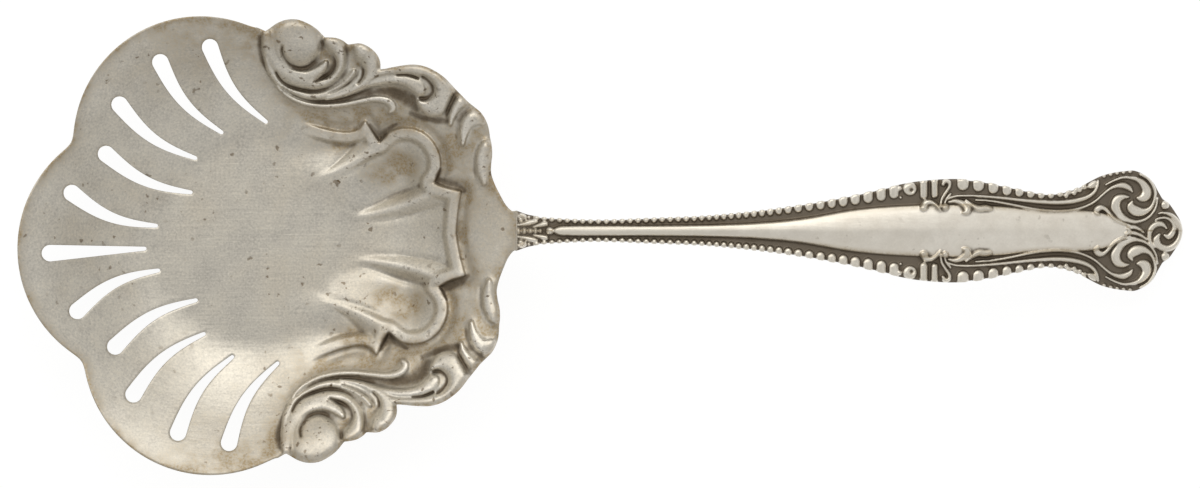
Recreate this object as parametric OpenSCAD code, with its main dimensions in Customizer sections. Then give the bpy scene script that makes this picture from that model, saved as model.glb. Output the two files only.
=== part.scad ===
// Pierced sugar spoon: a three-lobed shell bowl with sifting slots and struck scrolls,
// and a die-struck handle with bead borders and a whorl end, soldered to the bowl at the neck.
// Millimetres, +Z up. The origin is the centre of the bowl's flat underside, and
// +X runs towards the end of the handle. The spoon rests on that face and on the handle's end.

/* [Bowl] */
// Distance from the bowl's centre to the tip of a plain lobe
bowl_r = 31.7; // [29:0.1:35]
// Height of the rim's underside above the flat base
rim_rise = 10; // [8:0.25:12]
// Thickness of the bowl's sheet
sheet_t = 1.2; // [1:0.05:1.6]
// Radius of the flat well
well_r = 12.4; // [10:0.2:14]
// Radius of the arc of each plain lobe
lobe_r = 16.6; // [15.6:0.2:17.6]
// Angle from one lobe to the next, in degrees
lobe_step = 61.25; // [59:0.25:63]
// Radius that rounds the notch between two lobes
notch_r = 3; // [1.5:0.25:4]
// Angle at which the bowl sits turned on the handle, in degrees
bowl_turn = 2.75; // [0:0.25:4]

/* [Sifting slots] */
// Radius of a slot's wide outer end
slot_end_r = 1.08; // [0.8:0.04:1.28]
// Radius of a slot's narrow inner end
slot_tip_r = 0.3; // [0.2:0.05:0.5]
// How far a slot bows sideways at its middle
slot_bow = 1.1; // [0:0.1:1.5]

/* [Shell flutes] */
// Height of the lip round the flutes above the sheet
lip_h = 0.6; // [0.3:0.05:0.9]
// Depth of the scoop in each side flute
scoop_depth = 0.45; // [0.2:0.05:0.6]

/* [Scrolls] */
// Height of the scrolls' crests above the sheet
scroll_h = 1; // [0.6:0.05:1.4]

/* [Neck] */
// Distance from the lobes' circle out to the soldered seam
neck_reach = 1.5; // [1:0.1:4]
// Width of the neck at the seam
neck_w = 5.2; // [4.4:0.1:6]
// Length of the neck's straight end on the bowl's side
neck_len = 0.5; // [0.3:0.1:1]
// Thickness of the solder in the seam
solder_t = 0.2; // [0.1:0.05:0.3]
// Thickness of the handle's tongue under the bowl's heel
tongue_t = 1.3; // [1:0.05:1.8]
// Length of that tongue
tongue_len = 7.5; // [5:0.25:10]

/* [Handle] */
// Length of the handle from the seam to its end
handle_len = 86.7; // [80:0.5:95]
// Width of the handle over its widest place, the whorl end
handle_w = 15.8; // [14:0.2:18]
// Thickness of the handle's border plate at the swell
plate_t = 1.5; // [1.2:0.05:2]
// Height of the handle's back above the table at the top of its arch
arch_rise = 14.5; // [12:0.25:17]
// Height of the plain middle panel above the border plate
panel_h = 1; // [0.6:0.05:1.4]
// Depth of the sunk channel beside the panel
channel_d = 0.35; // [0.2:0.05:0.5]

/* [Beads] */
// Distance from one bead to the next on the narrow stem
bead_pitch = 1.04; // [0.94:0.02:1.2]
// Length of the largest border beads, across the handle
bead_len = 1.6; // [1.3:0.1:1.9]
// Height of the border beads
bead_h = 0.75; // [0.5:0.05:1]

/* [Whorls] */
// Radius of each of the two side whorls
whorl_r = 3.3; // [2.8:0.1:3.5]
// Radius of the whorl at the very end
tip_whorl_r = 2.35; // [2:0.05:2.5]
// Height of the whorls' arms
whorl_h = 0.8; // [0.5:0.05:1.1]

/* [Hidden] */

silver = "silver";
dark_silver = "darkgray";

// Gap between the tongue and the sheet that it backs, filled by a film of solder
film_t = 0.1;
// How far a struck detail reaches down into the metal that carries it
root = 0.5;
// How far a cut runs past the surface
overrun = 1;
// Smallest half-width of a detail that fades out
fade_w = 0.08;

// Share of the rim's rise that flattens out towards the rim
flare_share = 0.6;
dish_steps = 5;
dish_sides = 48;
outline_sides = 48;
arc_steps = 3;

// A struck line's foot and crest, as shares of the half-width given for it, and the sunk foot's
// depth below the ground as a share of the line's height
foot_share = 1.2;
crest_share = 0.55;
sink_share = 0.2;
// A boss's top and shoulder, as shares of its radius and of its height
top_share = 0.55;
shoulder_shares = [0.87, 0.6];
// Lower and faint ornament, as shares of the full height
low_share = 0.75;
faint_share = 0.4;
// Length of a bead as a share of the pitch, and a cord's waist as a share of its bead
gap_share = 0.8;
waist_share = 0.5;
// Plain edge left outside the beads
bead_edge = 0.08;
// The eye bead's hole as a share of the bead's radius
eye_hole_share = 0.35;

// Outline of the scrolled side from the neck on, in arcs that meet at notches: place along and
// across the bowl's axis as shares of bowl_r
side_shares = [
    [[1.03, 0.082], [0.991, 0.145], [0.964, 0.227], [0.962, 0.309], [0.957, 0.386]],
    [[0.957, 0.386], [0.943, 0.461], [0.912, 0.505], [0.874, 0.536]],
    [[0.874, 0.536], [0.795, 0.628], [0.713, 0.688], [0.615, 0.699], [0.521, 0.688]],
    [[0.521, 0.688], [0.511, 0.748], [0.461, 0.792], [0.393, 0.795]],
    [[0.393, 0.795], [0.347, 0.823], [0.3, 0.83]],
    [[0.3, 0.83], [0.249, 0.88], [0.167, 0.91], [0.091, 0.886], [0.06, 0.866], [0.019, 0.858]]
];

// Slots: angle and radius share of the outer end, then of the inner end, from the middle slot out
slot_shares = [
    [0, 0.902, 0, 0.476], [17.5, 0.839, 12, 0.434], [32.5, 0.77, 38, 0.352],
    [47, 0.847, 54.5, 0.436], [63.5, 0.883, 72.5, 0.476], [78, 0.864, 94.5, 0.49]
];
slot_steps = 4;
slot_sides = 12;

// Points of a struck line: place along and across the bowl's axis and half-width, as shares of bowl_r
body_leaf_shares = [
    [0.115, 0.855, 0.041], [0.085, 0.792, 0.037], [0.096, 0.731, 0.035], [0.136, 0.68, 0.033],
    [0.199, 0.65, 0.038], [0.257, 0.636, 0.029], [0.314, 0.647, 0.025], [0.353, 0.686, 0.023],
    [0.363, 0.732, 0.021], [0.349, 0.768, 0.014]
];
inner_finger_shares = [
    [0.198, 0.662, 0.033], [0.247, 0.677, 0.025], [0.283, 0.691, 0.021], [0.306, 0.721, 0.012]
];
outer_band_shares = [
    [0.072, 0.722, 0.012], [0.095, 0.666, 0.018], [0.138, 0.627, 0.018], [0.201, 0.597, 0.016],
    [0.267, 0.596, 0.014], [0.332, 0.611, 0.016], [0.38, 0.634, 0.021], [0.411, 0.668, 0.016]
];
outer_finger_shares = [
    [0.293, 0.577, 0.008], [0.366, 0.588, 0.012], [0.431, 0.608, 0.021], [0.478, 0.651, 0.029],
    [0.484, 0.701, 0.029], [0.453, 0.732, 0.025]
];
thin_tail_shares = [
    [0.139, 0.606, 0.006], [0.203, 0.57, 0.008], [0.273, 0.557, 0.008], [0.376, 0.556, 0.008],
    [0.478, 0.565, 0.009], [0.539, 0.568, 0.012], [0.569, 0.549, 0.012], [0.566, 0.524, 0.008]
];
stem_curl_shares = [
    [0.436, 0.583, 0.008], [0.496, 0.615, 0.012], [0.557, 0.63, 0.016], [0.618, 0.629, 0.021],
    [0.66, 0.615, 0.028], [0.677, 0.599, 0.022]
];
crescent_shares = [
    [0.502, 0.66, 0.016], [0.575, 0.68, 0.028], [0.665, 0.681, 0.029], [0.741, 0.647, 0.031],
    [0.78, 0.596, 0.033], [0.775, 0.542, 0.028], [0.734, 0.524, 0.022], [0.697, 0.534, 0.014],
    [0.678, 0.554, 0.008]
];
side_leaf_shares = [
    [[0.805, 0.425, 0.008], [0.81, 0.478, 0.016], [0.833, 0.52, 0.025], [0.865, 0.547, 0.02]],
    [[0.845, 0.365, 0.008], [0.858, 0.423, 0.021], [0.89, 0.453, 0.033], [0.926, 0.459, 0.025]],
    [[0.913, 0.216, 0.012], [0.915, 0.278, 0.025], [0.924, 0.328, 0.029], [0.939, 0.355, 0.02]]
];
// Round bosses of the scrolls: place along, place across, radius
boss_shares = [[0.18, 0.815, 0.088], [0.458, 0.765, 0.036]];

// The lip round the flutes: along the side flute to its cusp, round the lobe, and out to the cusp
// and the middle of the heel
lip_shares = [
    [0.17, 0.5, 0.008], [0.22, 0.482, 0.018], [0.29, 0.462, 0.022], [0.37, 0.454, 0.022], [0.45, 0.475, 0.02],
    [0.5, 0.385, 0.02], [0.57, 0.412, 0.022], [0.64, 0.415, 0.022], [0.7, 0.39, 0.022],
    [0.737, 0.34, 0.022], [0.745, 0.29, 0.022], [0.715, 0.215, 0.02],
    [0.81, 0.175, 0.02], [0.797, 0.09, 0.022], [0.79, 0, 0.022]
];
ridge_shares = [[0.7, 0.2, 0.024], [0.63, 0.155, 0.024], [0.54, 0.118, 0.02], [0.415, 0.095, 0.01]];
side_ridge_shares = [[0.44, 0.425, 0.02], [0.36, 0.36, 0.02], [0.28, 0.27, 0.012]];
// Middle and half-lengths of the side flute's scoop
scoop_shares = [0.6, 0.28, 0.15, 0.105];
scoop_angle = 32;

// Handle: share of its length from the seam, then a share of the half-width or thickness
width_shares = [
    [0, neck_w / handle_w], [0.02, 0.257], [0.06, 0.21], [0.125, 0.186], [0.2, 0.215], [0.275, 0.248],
    [0.35, 0.322], [0.424, 0.43], [0.5, 0.579], [0.56, 0.727], [0.6, 0.81], [0.65, 0.85],
    [0.69, 0.826], [0.735, 0.73], [0.79, 0.612], [0.815, 0.628], [0.845, 0.73], [0.875, 0.893],
    [0.915, 1], [0.94, 0.95], [0.958, 0.8], [0.972, 0.55], [0.985, 0.36], [0.996, 0.17], [1, 0.05]
];
panel_shares = [
    [0, 0.004], [0.045, 0.004], [0.06, 0.08], [0.2, 0.095], [0.275, 0.112], [0.35, 0.132],
    [0.424, 0.19], [0.5, 0.31], [0.56, 0.38], [0.65, 0.44], [0.72, 0.41], [0.79, 0.34],
    [0.84, 0.34], [0.875, 0.31], [0.905, 0.19], [0.918, 0.07], [0.925, 0.004], [1, 0.004]
];
pitch_shares = [
    [0, 0.94], [0.24, 1], [0.29, 0.91], [0.35, 0.98], [0.387, 1.12], [0.424, 1.38], [0.47, 1.42],
    [0.514, 1.63], [0.56, 1.6], [0.67, 1.95], [0.7, 1.8], [0.75, 1.45], [0.8, 1.15], [0.86, 0.85],
    [1, 0.85]
];
depth_shares = [
    [0, 0.38], [0.27, 0.4], [0.35, 0.48], [0.424, 0.54], [0.5, 0.68], [0.56, 0.95], [0.67, 0.85],
    [0.72, 0.78], [0.8, 0.42], [0.86, 0.4], [1, 0.4]
];
// Stretches of single border beads, as shares of the handle's length, on either side of the sprig,
// and the stretch of the stem's small beads, which touch
bead_row_shares = [[0.36, 0.568], [0.668, 0.858]];
cord_shares = [0.03, 0.352];
// Eye bead and the two tall beads before the sprig
eye_share = 0.589;
tall_bead_shares = [0.609, 0.6255];
// Beads on the shoulder of the whorl end, and the bead beside the last whorl
shoulder_row_shares = [0.881, 0.926];
end_bead_shares = [0.9745, 0.425];

// Sprig strokes and reeded lines: share along the handle, share of its half-width, half-width share
sprig_shares = [
    [[0.624, 0.4, 0.02], [0.612, 0.5, 0.045], [0.608, 0.42, 0.055]],
    [[0.634, 0.47, 0.025], [0.637, 0.6, 0.025], [0.642, 0.72, 0.03], [0.6445, 0.78, 0.045]],
    [[0.647, 0.46, 0.03], [0.657, 0.51, 0.045], [0.669, 0.49, 0.05], [0.679, 0.43, 0.035]],
    [[0.674, 0.54, 0.02], [0.687, 0.44, 0.04], [0.699, 0.41, 0.055], [0.709, 0.42, 0.05]]
];
sprig_ball_shares = [0.64, 0.42, 0.07];
reed_shares = [
    [
        [0.649, 0.544, 0.013], [0.687, 0.572, 0.022], [0.744, 0.519, 0.027], [0.807, 0.462, 0.038],
        [0.84, 0.5, 0.041], [0.863, 0.608, 0.032], [0.871, 0.81, 0.018]
    ],
    [
        [0.923, 0.658, 0.016], [0.917, 0.722, 0.046], [0.907, 0.749, 0.046], [0.89, 0.696, 0.028],
        [0.868, 0.494, 0.024], [0.853, 0.404, 0.024], [0.83, 0.344, 0.024], [0.796, 0.337, 0.024],
        [0.739, 0.437, 0.022], [0.698, 0.5, 0.013]
    ]
];
end_leaf_shares = [
    [[0.872, 0.34, 0.055], [0.88, 0.4, 0.03], [0.895, 0.26, 0.024], [0.916, 0.11, 0.016]],
    [[0.92, 0.08, 0.03], [0.928, 0.1, 0.03], [0.94, 0.015, 0.016]]
];
// Middles of the whorls on the handle, and their arms from head to tail: place and half-width as
// shares of the whorl's radius
side_whorl_shares = [0.9233, 0.5506];
tip_whorl_shares = [0.9712, 0];
side_arm_shares = [
    [
        [0.227, -0.015, 0.061], [0.53, 0.076, 0.2], [0.545, 0.348, 0.176], [0.348, 0.621, 0.121],
        [-0.03, 0.764, 0.076], [-0.5, 0.748, 0.052], [-0.985, 0.53, 0.03]
    ],
    [
        [0, -0.167, 0.048], [0.015, -0.485, 0.182], [0.348, -0.585, 0.152], [0.682, -0.455, 0.091],
        [0.879, -0.136, 0.067], [0.909, 0.258, 0.061], [0.712, 0.652, 0.061], [0.379, 0.894, 0.042]
    ],
    [
        [-0.167, 0.015, 0.048], [-0.53, -0.045, 0.152], [-0.661, -0.373, 0.188],
        [-0.47, -0.712, 0.152], [0.015, -0.939, 0.091], [0.482, -0.885, 0.061], [0.833, -0.591, 0.045],
        [1, -0.076, 0.03]
    ]
];
tip_arm_shares = [
    [
        [0.043, -0.234, 0.085], [0.34, -0.298, 0.187], [0.596, 0.043, 0.179], [0.489, 0.468, 0.128],
        [0.128, 0.715, 0.094], [-0.426, 0.638, 0.051]
    ],
    [
        [-0.234, -0.191, 0.085], [-0.404, -0.532, 0.213], [-0.085, -0.936, 0.213],
        [0.55, -0.83, 0.19], [0.86, -0.34, 0.16], [0.85, 0.29, 0.15], [0.5, 0.8, 0.119],
        [-0.17, 0.979, 0.06]
    ],
    [
        [0.17, 0.128, 0.064], [-0.213, 0.391, 0.179], [-0.681, 0.149, 0.187], [-0.787, -0.362, 0.136],
        [-0.511, -0.894, 0.06]
    ]
];
// Leaves and beads beside the seam: place and half-width as shares of the neck's width
neck_leaf_shares = [
    [[0.106, 0.154, 0.019], [0.221, 0.198, 0.054], [0.365, 0.231, 0.062], [0.51, 0.212, 0.023]],
    [[0.375, 0.096, 0.023], [0.538, 0.158, 0.058], [0.731, 0.183, 0.046]]
];
neck_bead_shares = [[0.092, 0.058], [0.231, 0.054], [0.365, 0.048], [0.481, 0.04], [0.596, 0.035]];
neck_side_bead_shares = [0.15, 0.29, 0.09];

// Handle's section: the panel's crown as shares of its half-width and height, how much of the
// half-width the panel and its channel may take, how far up the bevelled edge and how wide the back is
crown_shares = [[-0.88, 0.55], [-0.45, 0.92], [0, 1], [0.45, 0.92], [0.88, 0.55]];
panel_limit_share = 0.8;
channel_limit_share = 0.9;
bevel_share = 0.6;
back_share = 0.8;
least_half_w = 0.32;
// Stations of the handle's body: a long even stretch, then closer ones round the end
long_stretch_share = 0.87;
long_steps = 20;
end_steps = 10;
last_share = 0.996;
// Tongue: width and thickness at its end and at the seam, and the bevels of its edge, as shares
tongue_w_shares = [0.45, 0.98];
tongue_t_shares = [0.3, 1];
tongue_edge_shares = [0.7, 0.5];
tongue_steps = 6;

half_w = handle_w / 2;
neck_r = bowl_r + neck_reach;
neck_x = neck_r * cos(bowl_turn);
neck_y = neck_r * sin(bowl_turn);
rim_top = rim_rise + sheet_t;
neck_back = rim_rise - film_t - tongue_t;
neck_t = rim_top - neck_back;
arch_share = 0.4;
neck_slope_share = 0.62;
tip_slope_share = 1.35;
bead_sides = 6;
dome_sides = 14;

// Straight blend from a to b
function mix(a, b, t) = a + (b - a) * t;

// A line of points drawn smoothly through hand-placed ones
function between(a, b, c, d, t) =
    0.5 * (2 * b + (c - a) * t + (2 * a - 5 * b + 4 * c - d) * t * t + (3 * b - a - 3 * c + d) * t * t * t);
function smooth_line(p, steps) = [
    for (i = [0:len(p) - 2], k = [0:steps - (i == len(p) - 2 ? 0 : 1)])
        between(p[max(i - 1, 0)], p[i], p[i + 1], p[min(i + 2, len(p) - 1)], k / steps)
];

// The value at s of a table of [place, value] rows, without corners
function row_at(table, s, i = 0) =
    i >= len(table) - 2 || s < table[i + 1][0] ? i : row_at(table, s, i + 1);
function slope_at(table, i) =
    let (a = table[max(i - 1, 0)], b = table[min(i + 1, len(table) - 1)])
    (b[1] - a[1]) / (b[0] - a[0]);
function hermite(a, b, slope_a, slope_b, span, t) =
    a * (1 + 2 * t) * (1 - t) * (1 - t) + slope_a * span * t * (1 - t) * (1 - t)
    + b * t * t * (3 - 2 * t) - slope_b * span * t * t * (1 - t);
function smooth_at(table, s) =
    let (i = row_at(table, s), a = table[i], b = table[i + 1], span = b[0] - a[0])
    hermite(a[1], b[1], slope_at(table, i), slope_at(table, i + 1), span, (s - a[0]) / span);

// Height of the bowl's underside and inside at a distance r from its centre
function dish_under(r) =
    let (t = min(max((r - well_r) / (bowl_r - well_r), 0), 1))
    rim_rise * ((1 - flare_share) * t * t + flare_share * t * t * (3 - 2 * t));
function dish_inside(r) = dish_under(r) + sheet_t;

// Handle measures at a share s of its length
function half_width(s) = half_w * smooth_at(width_shares, s);
function panel_half(s) = half_w * max(smooth_at(panel_shares, s), panel_shares[0][1]);
function back_z(s) =
    s < arch_share
    ? hermite(neck_back, arch_rise, (arch_rise - neck_back) * 2 * neck_slope_share / arch_share, 0,
        arch_share, s / arch_share)
    : hermite(arch_rise, 0, 0, -arch_rise * tip_slope_share / (1 - arch_share), 1 - arch_share,
        (s - arch_share) / (1 - arch_share));
function plate_at(s) =
    let (t = min(s / arch_share, 1))
    mix(neck_t, plate_t, t * t * (3 - 2 * t));
function plate_top(s) = back_z(s) + plate_at(s);

// A closed solid through rings of points that all have the same count
module skin(rings) {
    n = len(rings);
    m = len(rings[0]);
    walls = [
        for (i = [0:n - 2], j = [0:m - 1])
            each [
                [i * m + j, i * m + (j + 1) % m, (i + 1) * m + j],
                [i * m + (j + 1) % m, (i + 1) * m + (j + 1) % m, (i + 1) * m + j]
            ]
    ];
    first = [for (j = [m - 1:-1:0]) j];
    last = [for (j = [0:m - 1]) (n - 1) * m + j];
    polyhedron(points = [for (r = rings) each r], faces = concat(walls, [first], [last]));
}

// A struck line with a round or a sharp crest. Each point holds x, y, half-width and, where the
// crest isn't at its full height, a share of that height. ground gives the height under a place
module struck_line(line, h, ground, sharp = false) {
    across = sharp ? [-foot_share, 0, foot_share] : [-foot_share, -crest_share, crest_share, foot_share];
    crest = sharp ? [-sink_share, 1, -sink_share] : [-sink_share, 1, 1, -sink_share];
    skin([
        for (i = [0:len(line) - 1])
            let (
                p = line[i],
                d = line[min(i + 1, len(line) - 1)] - line[max(i - 1, 0)],
                side = [-d[1], d[0]] / norm([d[0], d[1]]),
                w = max(p[2], fade_w),
                rise = h * (len(p) > 3 ? p[3] : 1)
            )
            concat(
                [
                    for (k = [0:len(across) - 1])
                        let (at = [p[0], p[1]] + side * w * across[k])
                        [at[0], at[1], ground(at) + rise * crest[k]]
                ],
                [
                    for (k = [foot_share, -foot_share])
                        let (at = [p[0], p[1]] + side * w * k)
                        [at[0], at[1], ground(at) - root]
                ]
            )
    ]);
}

// A low boss, l along X and w along Y, on the ground at z = 0
module boss(l, w, h, sides = bead_sides) {
    scale([l / 2, w / 2, 1])
        hull() {
            translate([0, 0, -root]) linear_extrude(root / 2) circle(r = foot_share, $fn = sides);
            linear_extrude(h) circle(r = top_share, $fn = sides);
        }
}

// A larger boss with a shoulder, so that its top reads as a dome
module dome(r, h) {
    hull() {
        translate([0, 0, -root]) linear_extrude(root / 2) circle(r = r * foot_share, $fn = dome_sides);
        linear_extrude(h * shoulder_shares[1]) circle(r = r * shoulder_shares[0], $fn = dome_sides);
        linear_extrude(h) circle(r = r * top_share, $fn = dome_sides);
    }
}

module both_sides() {
    children();
    mirror([0, 1, 0]) children();
}

// Places on the bowl, as shares of bowl_r, with a half-width, and the sheet's inside under a place
function on_bowl(p) = [for (q = p) q * bowl_r];
sheet_inside = function (at) dish_inside(norm(at));
function bowl_line(p, steps = 1) = [for (q = smooth_line(p, steps)) on_bowl(q)];

module bowl_outline() {
    lobe_at = bowl_r - lobe_r;
    arcs = [for (a = side_shares, p = smooth_line(a, arc_steps)) bowl_r * p];
    neck = [neck_r + overrun, neck_w / 2];
    offset(r = -notch_r, $fn = outline_sides) offset(delta = notch_r)
        for (k = [-1:1])
            rotate(180 + k * lobe_step) translate([lobe_at, 0]) circle(r = lobe_r, $fn = outline_sides);
    both_sides() polygon(concat([[0, 0], [neck[0], 0], neck, [neck[0] - overrun - neck_len, neck[1]]], arcs));
}

// The sheet before it is pierced: a flat well, a rising wall and a flaring rim
module dish() {
    reach = neck_r + 2 * overrun;
    wall = [for (i = [0:dish_steps]) mix(well_r, bowl_r, i / dish_steps)];
    rotate_extrude($fn = dish_sides)
        polygon(concat(
            [[0, 0]],
            [for (r = wall) [r, dish_under(r)]],
            [[reach, rim_rise], [reach, rim_top]],
            [for (i = [dish_steps:-1:0]) [wall[i], dish_inside(wall[i])]],
            [[0, sheet_t]]
        ));
}

// One slot: a bowed teardrop, cut straight down
module slot(s) {
    a = (bowl_r * s[1] - slot_end_r) * [cos(180 - s[0]), sin(180 - s[0])];
    b = (bowl_r * s[3] + slot_tip_r) * [cos(180 - s[2]), sin(180 - s[2])];
    way = (b - a) / norm(b - a);
    bow = s[0] == 0 ? 0 : slot_bow;
    spine = [
        for (i = [0:slot_steps])
            let (t = i / slot_steps)
            mix(a, b, t) + bow * sin(180 * t) * [way[1], -way[0]]
    ];
    translate([0, 0, -overrun])
        linear_extrude(rim_top + 2 * overrun)
            for (i = [0:slot_steps - 1])
                hull()
                    for (k = [i, i + 1])
                        translate(spine[k])
                            circle(r = mix(slot_end_r, slot_tip_r, k / slot_steps), $fn = slot_sides);
}

module slots() {
    for (s = slot_shares) {
        slot(s);
        if (s[0] != 0)
            mirror([0, 1, 0]) slot(s);
    }
}

module scrolls() {
    for (p = [body_leaf_shares, outer_finger_shares, stem_curl_shares, crescent_shares])
        struck_line(bowl_line(p), scroll_h, sheet_inside);
    for (p = [inner_finger_shares, outer_band_shares])
        struck_line(bowl_line(p), scroll_h, sheet_inside, sharp = true);
    struck_line(bowl_line(thin_tail_shares), scroll_h * low_share, sheet_inside, sharp = true);
    for (p = side_leaf_shares)
        struck_line(bowl_line(p), scroll_h * low_share, sheet_inside);
    for (b = boss_shares)
        let (p = on_bowl(b))
        translate([p[0], p[1], sheet_inside([p[0], p[1]])]) dome(p[2], scroll_h);
}

// The lip round the flutes and the ridges between them
module flute_lip() {
    half = bowl_line(lip_shares);
    back = [for (i = [len(half) - 2:-1:0]) let (p = half[i]) [p[0], -p[1], p[2]]];
    struck_line(concat(half, back), lip_h, sheet_inside);
    both_sides() {
        struck_line(bowl_line(ridge_shares, 2), lip_h * low_share, sheet_inside, sharp = true);
        struck_line(bowl_line(side_ridge_shares), lip_h * faint_share, sheet_inside, sharp = true);
    }
}

module flute_scoop() {
    at = [scoop_shares[0] * bowl_r, scoop_shares[1] * bowl_r];
    slope = atan(rim_rise / (bowl_r - well_r)) * cos(scoop_angle);
    translate([at[0], at[1], dish_inside(norm(at)) + scoop_depth])
        rotate([0, -slope, scoop_angle])
            scale([scoop_shares[2] * bowl_r, scoop_shares[3] * bowl_r, 2 * scoop_depth])
                sphere(r = 1, $fn = dome_sides);
}

module bowl() {
    color(silver)
        difference() {
            rotate(bowl_turn)
                difference() {
                    intersection() {
                        union() {
                            difference() {
                                dish();
                                both_sides() flute_scoop();
                            }
                            both_sides() scrolls();
                            flute_lip();
                        }
                        linear_extrude(rim_top + scroll_h + overrun) bowl_outline();
                    }
                    slots();
                }
            translate([neck_x - solder_t / 2, -bowl_r, 0])
                cube([bowl_r, 2 * bowl_r, rim_top + scroll_h + overrun]);
        }
}

// Hard solder in the butt between the bowl's neck and the handle
module solder_seam() {
    color(dark_silver)
        translate([neck_x - solder_t / 2, neck_y - neck_w / 2, rim_rise])
            cube([solder_t, neck_w, sheet_t]);
}

// Places on the handle: share along it, share of its half-width across it, half-width share
function on_handle(p) = [p[0] * handle_len, p[1] * half_w, p[2] * half_w];
plate_under = function (at) plate_top(min(max(at[0] / handle_len, 0), 1));
module on_plate(p) {
    translate([p[0], p[1], plate_under(p)]) children();
}

function handle_line(p) = [for (q = p) on_handle(q)];

// The section of the handle: plain back, border plate, sunk channel and crowned panel
function handle_ring(s) =
    let (
        w = max(half_width(s), least_half_w),
        pan = min(panel_half(s), w * panel_limit_share),
        rise = panel_h * min(pan / (2 * panel_h), 1),
        sunk = channel_d * rise / panel_h,
        foot = min(pan + channel_d, w * channel_limit_share),
        back = back_z(s),
        top = plate_top(s),
        bevel = top - plate_at(s) * bevel_share,
        x = s * handle_len
    )
    [
        [x, -w, top - fade_w], [x, -foot, top - sunk], [x, -pan, top - sunk],
        for (c = crown_shares) [x, pan * c[0], top + rise * c[1]],
        [x, pan, top - sunk], [x, foot, top - sunk], [x, w, top - fade_w], [x, w, bevel],
        [x, w * back_share, back], [x, -w * back_share, back], [x, -w, bevel]
    ];

module handle_body() {
    first = solder_t / 2 / handle_len;
    stations = concat(
        [first],
        [for (i = [1:long_steps]) long_stretch_share * i / long_steps],
        [for (i = [1:end_steps - 1]) mix(long_stretch_share, 1, i / end_steps)],
        [last_share, 1]
    );
    skin([for (s = stations) handle_ring(s)]);
}

// The tongue laps under the bowl's heel and follows the sheet's underside
module tongue() {
    skin([
        for (i = [0:tongue_steps])
            let (
                t = i / tongue_steps,
                x = mix(-tongue_len, solder_t, t),
                w = neck_w / 2 * mix(tongue_w_shares[0], tongue_w_shares[1], sin(90 * t)),
                top = dish_under(norm([neck_x + x, neck_y])) - film_t,
                thick = tongue_t * mix(tongue_t_shares[0], tongue_t_shares[1], sin(90 * t)),
                edge = w * tongue_edge_shares[0],
                bevel = top - thick * tongue_edge_shares[1]
            )
            [
                [x, -w, top], [x, w, top], [x, w, bevel], [x, edge, top - thick],
                [x, -edge, top - thick], [x, -w, bevel]
            ]
    ]);
}

// Shares of the handle's length at which the beads of a stretch stand
function bead_places(s, last) =
    s > last ? [] : concat([s], bead_places(s + bead_pitch * smooth_at(pitch_shares, s) / handle_len, last));

// Width of the band that the beads take at s, and the middle of that band
function bead_depth(s) =
    min(bead_len * smooth_at(depth_shares, s), (half_width(s) - panel_half(s) - channel_d) * foot_share);
function bead_y(s) = half_width(s) - bead_edge - bead_depth(s) / 2;

module border_bead(s, length_share = 1) {
    on_plate([s * handle_len, bead_y(s)])
        boss(bead_pitch * smooth_at(pitch_shares, s) * gap_share, bead_depth(s) * length_share,
            bead_h * mix(low_share, 1, smooth_at(depth_shares, s)));
}

// A row of small beads that touch: a full ring at each bead and a waist between two
module bead_cord(first, last) {
    struck_line([
        for (s = bead_places(first, last), k = [0, 0.5])
            let (
                at = s + k * bead_pitch * smooth_at(pitch_shares, s) / handle_len,
                w = bead_depth(at) / 2 / foot_share
            )
            [at * handle_len, bead_y(at), k == 0 ? w : w * waist_share, k == 0 ? 1 : faint_share]
    ], bead_h * low_share, plate_under, sharp = true);
}

module border_beads() {
    bead_cord(cord_shares[0], cord_shares[1]);
    for (row = bead_row_shares, s = bead_places(row[0], row[1]))
        border_bead(s);
    for (s = tall_bead_shares)
        on_plate([s * handle_len, half_width(s) - bead_edge - bead_len / 2])
            boss(bead_pitch, bead_len, bead_h);
    for (s = bead_places(shoulder_row_shares[0], shoulder_row_shares[1]))
        border_bead(s, low_share);
    on_plate([eye_share * handle_len, half_width(eye_share) - bead_len / 2])
        difference() {
            dome(bead_len / 2, bead_h);
            translate([0, 0, -channel_d])
                cylinder(r = bead_len / 2 * eye_hole_share, h = bead_h + root, $fn = dome_sides);
        }
    on_plate([end_bead_shares[0] * handle_len, end_bead_shares[1] * half_w])
        boss(bead_pitch, bead_pitch, bead_h);
}

// The comma arms of a whorl, round its middle
module whorl(at, r, arms) {
    for (a = arms)
        let (line = [for (p = a) [at[0] + r * p[0], at[1] + r * p[1], r * p[2]]])
        struck_line(line, whorl_h, plate_under, sharp = true);
}

// Places beside the seam
function on_neck(p) = [solder_t / 2 + p[0] * neck_w, p[1] * neck_w, p[2] * neck_w];

module neck_details() {
    for (p = neck_leaf_shares)
        struck_line([for (q = p) on_neck(q)], whorl_h, plate_under, sharp = true);
    side = on_neck(neck_side_bead_shares);
    on_plate(side) boss(2 * side[2], 2 * side[2], whorl_h);
}

module sprigs() {
    for (p = concat(sprig_shares, reed_shares, end_leaf_shares))
        struck_line(handle_line(p), whorl_h, plate_under, sharp = true);
    ball = on_handle(sprig_ball_shares);
    on_plate(ball) boss(2 * ball[2], 2 * ball[2], whorl_h);
}

module handle() {
    side_at = [side_whorl_shares[0] * handle_len, side_whorl_shares[1] * half_w];
    tip_at = [tip_whorl_shares[0] * handle_len, tip_whorl_shares[1] * half_w];
    color(silver)
        translate([neck_x, neck_y, 0]) {
            handle_body();
            tongue();
            both_sides() {
                border_beads();
                sprigs();
                neck_details();
                whorl(side_at, whorl_r, side_arm_shares);
            }
            whorl(tip_at, tip_whorl_r, tip_arm_shares);
            for (b = neck_bead_shares)
                let (p = on_neck([b[0], 0, b[1]]))
                on_plate(p) boss(2 * p[2], 4 * p[2], whorl_h * low_share);
        }
}

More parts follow.
